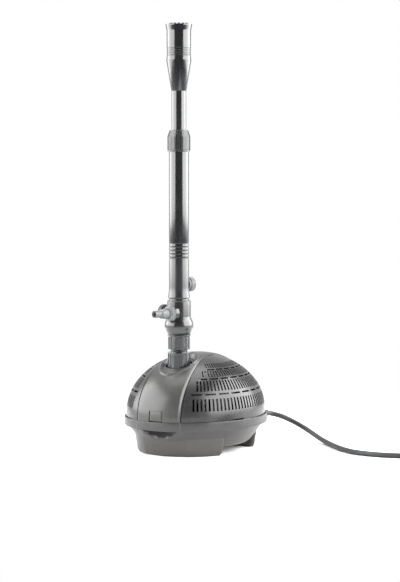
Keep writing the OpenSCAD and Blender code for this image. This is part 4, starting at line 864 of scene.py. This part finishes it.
# How far the side outlet's axis and its regulator's pass beside the riser's, in mm.
OUTLET_ASIDE, VALVE_ASIDE = 4.7, 2.5
OUTLET_AT = RISER + OUTLET_Z * UP + OUTLET_ASIDE * SIDEWARD
VALVE_AT = RISER + OUTLET_Z * UP + VALVE_ASIDE * OUTWARD


def tee():
    """Bulb, barrel and waist turned in one, with the side stub and the regulator's boss, which
    end on the ball's socket."""
    bulb_r, socket_r, mouth_r, barrel_r, bore_r = 19.5, 16, 13, 16, 10
    top, waist_r, waist_top, arm_low, arm_floor = 207, 13.5, 209.2, 10.6, 12.5
    mouth_out, neck, high_in, mouth_in = np.degrees(np.arccos([
        mouth_r / bulb_r, barrel_r / bulb_r, bore_r / socket_r, (mouth_r + 0.02) / socket_r
    ]))
    bulb = turned([
        *arc(BALL_Z, bulb_r, -mouth_out, neck - 2, 0.3, 22), (barrel_r + 0.1, BALL_Z + 12, 1.2),
        (barrel_r, top - 1.2, 0.4), (barrel_r - 1.1, top, 0.5), (waist_r, top, 0.6),
        (waist_r, waist_top, 0.3), (bore_r, waist_top, 0.3),
        *arc(BALL_Z, socket_r, high_in, -mouth_in, 0.1, 20),
    ], 144)

    def arm(corners, at, along):
        """Turns an arm about an axis, and slides its points that lie inside the ball's socket out
        to the socket's sphere."""
        closed = [(0, arm_low, 0), *corners, (corners[-1][0], arm_floor, 0), (0, arm_floor, 0)]
        points, faces = turned(closed, 64, at=at, along=along)
        from_ball = points - RISER - BALL_Z * UP
        way = from_ball @ along
        aside = (from_ball**2).sum(1) - way**2
        reach = np.sqrt(np.maximum((socket_r + 0.2) ** 2 - aside, 0))
        return points + np.maximum(reach - way, 0)[:, None] * along, faces

    stub = [(10.3, arm_low, 0), (10.3, 15.8, 0.4), (8.5, 15.8, 0.1), (8.5, 19.4, 0.4)]
    stub = arm([*stub, (4.5, 19.4, 0.3)], OUTLET_AT, OUTWARD)
    boss = arm([(6.5, arm_low, 0), (6.5, 22, 0.5), (3.3, 22, 0.2)], VALVE_AT, -SIDEWARD)
    add_piece("tee_moulding", together(bulb, stub, boss), "riser", "tee_plastic", "tee_body")


def knob(r, low, high, neck_r, neck_low, valve):
    """A knurled knob on its stem, along Z: a shallow hollow in its face, fine knurls round it."""
    outline = soften([
        (0, neck_low, 0), (3, neck_low, 0.2), (3, low - 3, 0.1), (neck_r, low - 3, 0.4),
        (neck_r, low, 0.2), (r - 0.6, low, 0.3), *upright(r, low + 0.9, high - 0.9, 0.7),
        (r - 0.6, high, 0.3), (r * 0.62, high, 0.3), (r * 0.56, high - 0.8, 0.4),
        (0, high - 0.8, 0),
    ])
    return together(lathe(outline, 288, flutes(24, 0.7, low + 0.6, high - 0.6)), valve)


def regulators():
    """Side knob with its half-round valve, and the riser's knob with its disc valve."""
    half, faces = lathe(soften([(0, -6, 0), (5, -6, 0.3), (5, 2.5, 0.3), (0, 2.5, 0)]), 48)
    half[:, 1] = np.minimum(half[:, 1], 0)
    side = knob(r=10, low=25, high=32, neck_r=7.6, neck_low=0, valve=(half, faces))
    side = placed(side, VALVE_AT, -SIDEWARD)
    add_piece("side_regulator_knob", side, "side_valve", "knob_plastic", "side_regulator")
    disc, faces = lathe(soften([(0, -1, 0), (9, -1, 0.4), (9, 1, 0.4), (0, 1, 0)]), 64)
    disc = disc[:, [0, 2, 1]] * [1, -1, 1]
    r = 9.8
    at = RISER + (heights("riser_regulator")[0] + r) * UP
    riser = knob(r=r, low=15.4, high=22.4, neck_r=8.4, neck_low=-4.5, valve=(disc, faces))
    riser = placed(riser, at, -OUTWARD)
    add_piece("riser_regulator_knob", riser, "riser_valve", "outlet_plastic", "riser_regulator")


def side_outlet():
    """The knurled cone nut and the stepped barb that it holds."""
    back, front, step, hole, bore, r = 16.1, 23.8, 21.4, 7.05, 8.8, 10.7
    axis = {"at": OUTLET_AT, "along": OUTWARD}
    nut = turned([
        (bore, back, 0.2), (r - 0.4, back, 0.2), *upright(r, back + 0.4, front - 2.6, 0.3),
        (r - 0.3, front - 2.2, 0.3), (hole + 1.2, front, 0.6), (hole, front, 0.2),
        (hole, step, 0.1), (bore, step, 0.1),
    ], 480, knurls(20, 0.9, back + 0.3, front - 2.2, 3.4), **axis)
    add_piece("outlet_nut_knurled", nut, "hose_nut", "outlet_plastic", "outlet_nut")
    barb = turned([
        (3.4, 19.7, 0.1), (8.2, 19.7, 0.2), (8.2, 21.1, 0.2), (6.75, 21.1, 0.2), (6.75, 26.5, 0.1),
        (7.1, 26.5, 0.15), (6.2, 34.4, 0.2), (5.8, 35, 0.2), (4.8, 35.2, 0.2), (4.8, 46, 0.2),
        (4.5, 46, 0.1), (3.4, 43.8, 0.2),
    ], **axis)
    add_piece("hose_barb_stepped", barb, "riser", "outlet_plastic", "hose_barb")


# Riser

COLLAR_Z = 407


def riser_socket():
    """Satin socket with a flared foot and the regulator's boss."""
    low, high = heights("riser_socket")
    r, flare_r, bore_r, tube_r, tube_low, boss_z = 13.5, 14.8, 10.2, 11.7, high - 20.3, 228
    socket = turned([
        (bore_r, low, 0.2), (flare_r - 0.5, low, 0.4), (flare_r, low + 0.8, 0.4),
        (flare_r, low + 1.6, 0.6), (r, low + 11, 5), (r, high, 0.3), (tube_r, high, 0.2),
        (tube_r, tube_low, 0.1), (bore_r, tube_low, 0.1),
    ], 144)
    boss = turned([
        (0, 6, 0), (7, 6, 0), (7, 15.1, 0.5), (3.3, 15.1, 0.2), (3.3, 11, 0), (0, 11, 0)
    ], 64, at=RISER + boss_z * UP, along=-OUTWARD)
    shape = together(socket, boss)
    add_piece("riser_socket_satin", shape, "riser", "socket_plastic", "riser_socket")


def lower_tube():
    """The lower tube: its spigot, five grooves at the foot, and the thread under the collar."""
    low, high = heights("lower_tube")
    foot_z, r, bore_r, spigot_r, thread_z = 263.1, 13.5, 10.4, 11.6, COLLAR_Z + 1
    grooves = [c for k in range(5) for c in groove(r, foot_z + 0.3 + 4.8 * k)]
    shape = turned([
        (bore_r, low, 0.2), (spigot_r, low, 0.3), (spigot_r, foot_z, 0.1), (r, foot_z, 0.15),
        *grooves, (r, thread_z, 0.2), (r - 1, thread_z, 0.1), (r - 1, high, 0.2),
        (bore_r, high, 0.2),
    ], 144)
    add_piece("lower_tube_polished", shape, "riser", "tube_plastic", "lower_tube")


def lock_collar():
    """The collar: fine ribs up to its chamfered top."""
    bottom, top, r, tube_r, seat_r = COLLAR_Z, heights("lock_collar")[1], 15.5, 10.4, 12.8
    shape = turned([
        (13.8, bottom, 0.2), (r - 0.2, bottom, 0.5), (r - 0.2, bottom + 1.6, 0.2),
        *upright(r, bottom + 2.2, top - 9.4, 1.2),
        *((r - 2.8 * t, top - 9 + 8.2 * t, 0) for t in np.linspace(0, 1, 8)),
        (r - 3.4, top, 0.4), (tube_r, top, 0.2), (tube_r, top - 3.6, 0.1),
        (seat_r, top - 3.6, 0.1), (seat_r, bottom + 3, 0.1), (13.8, bottom + 3, 0.1),
    ], 400, flutes(40, 0.4, bottom + 1.8, top - 1.5, 0.4, 0.2))
    add_piece("lock_collar_ribbed", shape, "collar", "socket_plastic", "lock_collar")


def upper_tube():
    low, high = heights("upper_tube")
    shape = turned([
        (8.2, low, 0.2), (10, low, 0.4), (10, high - 12, 0.2), (9.6, high - 12, 0.1),
        (9.6, high, 0.3), (8.2, high, 0.2),
    ], 128)
    add_piece("upper_tube_polished", shape, "upper", "tube_plastic", "upper_tube")


def nozzle_head():
    """The head: a cone, a grooved barrel that steps in above the cone, and a lip."""
    low, top = heights("nozzle_head")
    r, lip_r, flare_z, foot_r, length = 16.5, 18, low + 41.5, 9.7, 89
    grooves = [c for t in (0.522, 0.555, 0.59, 0.625) for c in groove(r, low + length * t)]
    shape = turned([
        (foot_r, low, 0.2), (10.2, low, 0.4), (r + 0.6, flare_z, 0.5), (r, flare_z + 1.6, 0.4),
        *grooves, (r, top - 9, 2), (lip_r, top - 1.4, 0.5), (lip_r, top, 0.5), (r - 1.8, top, 0.4),
        (r - 1.8, flare_z + 2, 2), (8.2, low + 12, 0.5), (foot_r, low + 12, 0.1),
    ], 144)
    add_piece("nozzle_head_flared", shape, "nozzle", "tube_plastic", "nozzle_head")


# Cable


CABLE_POINTS = (
    (60, 143, 32), (74, 150, 25), (92, 150, 17), (110, 143, 10), (126, 131, 6),
    (142, 116, 4), (156, 101, 3.5), (170, 86, 3.5), (184, 71, 3.5), (199, 58, 3.5),
    (216, 47, 3.5), (235, 41, 3.5), (254, 39, 3.5), (273, 41, 3.5), (291, 46, 3.5),
    (308, 53, 3.5), (324, 61, 3.5),
)
COIL_X, COIL_Y, COIL_START = 403, 6, math.radians(125)
COIL_MID_R, COIL_PITCH, LAYER_TURNS, LAYERS = 63, 7.5, 6, 4
GLAND_PLACE, GLAND_PITCH = math.radians(21), math.radians(10)
GLAND_BACK, BOOT_START, BOOT_L, LEAD_PULL = 7.5, 2.3, 26, 16


def gland_axis():
    """Where the gland leaves the rim band, and its direction: the oval's normal, tipped down."""
    x, y = RIM_R * math.sin(GLAND_PLACE), RIM_R * PLAN_RATIO * math.cos(GLAND_PLACE)
    turn = math.atan2(y / PLAN_RATIO**2, x)
    level = math.cos(GLAND_PITCH)
    direction = np.array([math.cos(turn) * level, math.sin(turn) * level, -math.sin(GLAND_PITCH)])
    return np.array([x, y, RIM_LOW + 0.42 * (RIM_HIGH - RIM_LOW)]), direction


def ease(t):
    """A climb from 0 to 1 that starts and ends level."""
    return (1 - np.cos(math.pi * np.clip(t, 0, 1))) / 2


def coil_path(per_turn=48):
    """The coil's centreline: t counts turns, the radius runs in and out between the layers, and
    each layer is climbed in the half turn where it reverses."""
    run = LAYER_TURNS * LAYERS - 1 + math.degrees(COIL_START) / 360
    t = np.linspace(0, run, int(run * per_turn))
    half = COIL_PITCH * LAYER_TURNS / 2
    r = COIL_MID_R - half + 2 * half * np.abs(t / LAYER_TURNS % 2 - 1)
    climbs = sum(ease((t - k * LAYER_TURNS) * 2 + 0.5) for k in range(1, LAYERS))
    a = COIL_START - 2 * math.pi * t
    z = CABLE_D / 2 + COIL_PITCH * climbs
    return np.stack([COIL_X + r * np.cos(a), COIL_Y + r * np.sin(a), z], -1)


def cable_route():
    """The whole lead: from the boot's tip by the chosen points into the coil, and out of its last
    turn down to the plug."""
    place, direction = gland_axis()
    tip = place + BOOT_L * direction
    coil = coil_path()
    heading = np.array([math.sin(COIL_START), -math.cos(COIL_START), 0])
    head = coil[0] - CABLE_D * heading
    free = smooth_route([
        tip, tip + CABLE_D * direction, *CABLE_POINTS, head - CABLE_D * heading, head, coil[0]
    ])
    low, high = box_mm("cable_tail")
    out, tail_l, drop_l = coil[-1], 40, 36
    level_y = high[1] - (out[1] - CABLE_D - low[1] - tail_l)
    y = [np.linspace(out[1], level_y, 8)[1:], level_y - np.linspace(0, tail_l, 14)[1:]]
    y = np.concatenate(y)
    plug_z = box_mm("plug_body")[1][2] / 2
    z = out[2] - (out[2] - plug_z) * ease((level_y - y) / drop_l)
    tail = np.stack([0 * y + out[0], y, z], -1)
    return np.concatenate([free[:-1], coil, tail])


def strap(turn):
    """A flat tie round the coil's turns at one place: a rounded box section, closed on itself."""
    half_w, top, low, r = COIL_PITCH * LAYER_TURNS / 2 + CABLE_D / 2 + 0.7, 31, 0.05, 3.4
    half, thick = 3.5, 1
    outer = soften([(-half_w, low, r), (half_w, low, r), (half_w, top, r), (-half_w, top, r)], 8)
    centre = np.array([0, top / 2])
    inner = centre + (outer - centre) * (1 - thick / np.array([half_w, top / 2]))
    inner[:, 1] = np.maximum(inner[:, 1], 0.45)
    section = np.stack([outer, outer, inner, inner])
    across = np.array([-half, half, half, -half])[:, None, None]
    radial = np.array([math.cos(turn), math.sin(turn), 0])
    middle = np.array([COIL_X, COIL_Y, 0]) + COIL_MID_R * radial
    points = middle + section[..., :1] * radial + section[..., 1:] * UP
    points = points + across * np.cross(UP, radial)
    return points.reshape(-1, 3), grid_faces(4, len(outer), True, True)


def gland():
    """The grommet in the rim: a nut inside, the collar through the wall and the flange outside."""
    at, along = gland_axis()
    shape = turned([
        (0, -GLAND_BACK, 0), (5.6, -GLAND_BACK, 0.5), (5.6, -5, 0.3), (4.8, -5, 0.1),
        (4.8, 0.3, 0.1), (6.4, 0.3, 0.3), (6.4, BOOT_START, 0.7), (0, BOOT_START, 0),
    ], 64, at=at, along=along)
    add_piece("cable_gland_grommet", shape, "base", "gland_rubber", "cable_gland")


def boot():
    """The tapered boot on the lead, with shallow rings round it."""
    (at, along), low, rings = gland_axis(), BOOT_START + 0.02, []
    for x in np.arange(6, 22, 4.0):
        r = 5.4 - 0.95 * x / BOOT_L
        rings += [(r, x, 0.3), (r - 0.5, x + 0.5, 0.4), (r - 0.5, x + 1.3, 0.4)]
        rings.append((r - 0.1, x + 1.9, 0.3))
    shape = turned([
        (0, low, 0), (5.6, low, 0.2), (5.5, 4.4, 0.4), *rings, (4.5, BOOT_L, 0.5), (0, BOOT_L, 0)
    ], 64, at=at, along=along)
    return add_piece("cable_boot_ringed", shape, "base", "gland_rubber", "cable_boot")


def inner_lead():
    """The lead inside: a cubic curve from the end cap, level, to the gland, along its axis."""
    place, direction = gland_axis()
    exit_x, exit_z = 13, 58
    start = np.array([exit_x, box_mm("motor_end_cap")[1][1], exit_z])
    end = place - GLAND_BACK * direction
    a, d = start + [0, CABLE_D / 2, 0], end - CABLE_D * direction
    b, c = a + [0, LEAD_PULL, 0], d - LEAD_PULL * direction
    t = np.linspace(0, 1, 25)[:, None]
    curve = (1 - t) ** 3 * a + 3 * t * (1 - t) ** 2 * b + 3 * t**2 * (1 - t) * c + t**3 * d
    path = np.concatenate([[start], curve, [end]])
    shape = tube_along(path, CABLE_D / 2)
    add_piece("inner_lead_round", shape, "base", "cable_rubber", "inner_lead")


def plug():
    """A moulded round plug: sleeve, waisted grip with finger rings, and a flat face."""
    low, high = box_mm("plug_body")
    r, length, grip_x, grip_l = (high[0] - low[0]) / 2, 60, 26, 34
    sleeve = []
    for x in (6, 10, 14, 18):
        ring_r = 4 + 0.1 * x
        sleeve += [(ring_r + 0.4, x, 0.3), (ring_r, x + 0.8, 0.4), (ring_r + 0.5, x + 1.8, 0.3)]
    # Radius and place of the grip's corners, as shares of the plug's radius and the grip's length.
    grip = [
        (0.72, 0), (0.8, 0.12), (0.75, 0.2), (0.77, 0.26), (0.74, 0.32), (0.76, 0.38),
        (0.74, 0.44), (0.82, 0.6), (0.99, 0.76),
    ]
    shape = turned([
        (0, 0, 0), (4.5, 0, 0.4), *sleeve, (7, grip_x, 0.8),
        *((share * r, grip_x + grip_l * t, 1.5) for share, t in grip),
        (r, length - 0.4, 0.6), (r - 0.4, length, 0.4), (0, length, 0),
    ], at=[(low[0] + high[0]) / 2, high[1], (low[2] + high[2]) / 2], along=(0, -1, 0))
    return add_piece("plug_body_moulded", shape, "base", "plug_rubber", "plug_body")


def cable():
    """The free lead as one tube of its real length, with its boot, ties and plug."""
    path = cable_route()
    shape = tube_along(path, CABLE_D / 2, 14)
    nodes = ("cable", "cable_coil", "cable_tail")
    piece = add_piece("mains_cable", shape, "base", "cable_rubber", *nodes)
    ties = [
        add_piece(f"coil_tie_{k}", strap(math.radians(turn)), "base", "seal_rubber")
        for k, turn in enumerate((60, 200, 310), 1)
    ]
    boot()
    plug()


# Studio

# In metres: the height that the lamps aim at, and half the floor's side.
AIM_HEIGHT, FLOOR_HALF = 1.15, 1.1
LAMPS = (
    # name, angle from the camera to the left, distance, height, width, tall, power
    ("left_softbox", 84, 1.9, 1.28, 3.5, 2.3, 160),
    ("right_softbox", -84, 1.9, 1.28, 3.5, 2.3, 200),
    ("top_softbox", 180, 0.3, 2.1, 1.6, 1.6, 30),
)


def studio():
    """Two tall softboxes beside the camera for the riser's two bright bands, a soft one above, and
    a pale floor that fades to white away from the object."""
    for name, turn, distance, height, width, tall, power in LAMPS:
        data = bpy.data.lights.new(name, "AREA")
        data.shape = "RECTANGLE"
        data.size, data.size_y, data.energy = width, tall, power
        lamp = new_object(name, data)
        a = VIEW_TURN - math.radians(turn)
        place = np.array([math.sin(a) * distance, -math.cos(a) * distance, height])
        z = unit(place - AIM_HEIGHT * UP)
        lamp.location = place.tolist()
        lamp.rotation_euler = (math.acos(z[2]), 0, math.atan2(z[1], z[0]) + math.pi / 2)
    pale_room()
    corners = [(FLOOR_HALF * x, FLOOR_HALF * y, 0) for x, y in ((-1, -1), (1, -1), (1, 1), (-1, 1))]
    mesh = bpy.data.meshes.new("floor")
    mesh.from_pydata(corners, [], [(0, 1, 2, 3)])
    mesh.materials.append(pale_floor())
    new_object("floor", mesh)


def pale_room():
    """A dim room that is white to the eye and through clear things, and bright in reflections only
    on the side beyond the object."""
    world = bpy.data.worlds.new("pale_room")
    bpy.context.scene.world = world
    world.use_nodes = True
    tree = world.node_tree
    room = tree.nodes["Background"]
    adjust(room, Color=hex_colour("#f6f6f6"), Strength=0.07)
    white = add(tree, "Background", Color=hex_colour("#ffffff"), Strength=1.0)
    ray = add(tree, "LightPath")
    seen = add(
        tree, "Math", [(0, ray, "Is Camera Ray"), (1, ray, "Is Transmission Ray")],
        operation="MAXIMUM",
    )
    direction = add(tree, "TexCoord")
    facing = add(tree, "VectorMath", [(0, direction, "Object")], operation="DOT_PRODUCT")
    facing.inputs[1].default_value = (math.sin(VIEW_TURN), -math.cos(VIEW_TURN), 0)
    dark = add(
        tree, "MapRange", [("Value", facing, "Value")],
        interpolation_type="SMOOTHSTEP", From_Min=-0.3, From_Max=0.3, To_Min=0.85, To_Max=0.1,
    )
    behind = add(
        tree, "Math", [(0, ray, "Is Glossy Ray"), (1, dark, "Result")],
        operation="MULTIPLY",
    )
    both = add(tree, "Math", [(0, seen, 0), (1, behind, 0)], operation="MAXIMUM")
    mix = add(tree, "MixShader", [(0, both, 0), (1, room, 0), (2, white, 0)])
    join(tree, tree.nodes["World Output"], ("Surface", mix, 0))


def pale_floor():
    """White paper: matt where it carries the shadow, plain white to the eye further off."""
    material, tree, surface, place = new_material(
        "white_paper", Base_Color=hex_colour("#fbfbfb"), Roughness=0.9
    )
    far = add(tree, "VectorMath", [(0, place, "Object")], operation="LENGTH")
    fade = add(
        tree, "MapRange", [("Value", far, "Value")],
        interpolation_type="SMOOTHSTEP", From_Min=0.3, From_Max=0.75,
    )
    ray = add(tree, "LightPath")
    seen = add(
        tree, "Math", [(0, fade, "Result"), (1, ray, "Is Camera Ray")],
        operation="MULTIPLY",
    )
    glow = add(tree, "Emission", Color=hex_colour("#ffffff"), Strength=1.0)
    mix = add(tree, "MixShader", [(0, seen, 0), (1, surface, 0), (2, glow, 0)])
    join(tree, tree.nodes["Material Output"], ("Surface", mix, 0))
    return material


# Making

for make in (
    gland, cable, inner_lead, base_shell, cover, adapter, union_nut, tee, regulators, side_outlet,
    riser_socket, lower_tube, lock_collar, upper_tube, nozzle_head,
):
    make()

for subpart in frame["record"]["subparts"]:
    node = frame["nodes"][subpart["node"]]
    node.data.materials.clear()
    node.data.materials.append(finish[subpart["material_slot"]])

studio()
bpy.context.scene.view_settings.view_transform = "Standard"
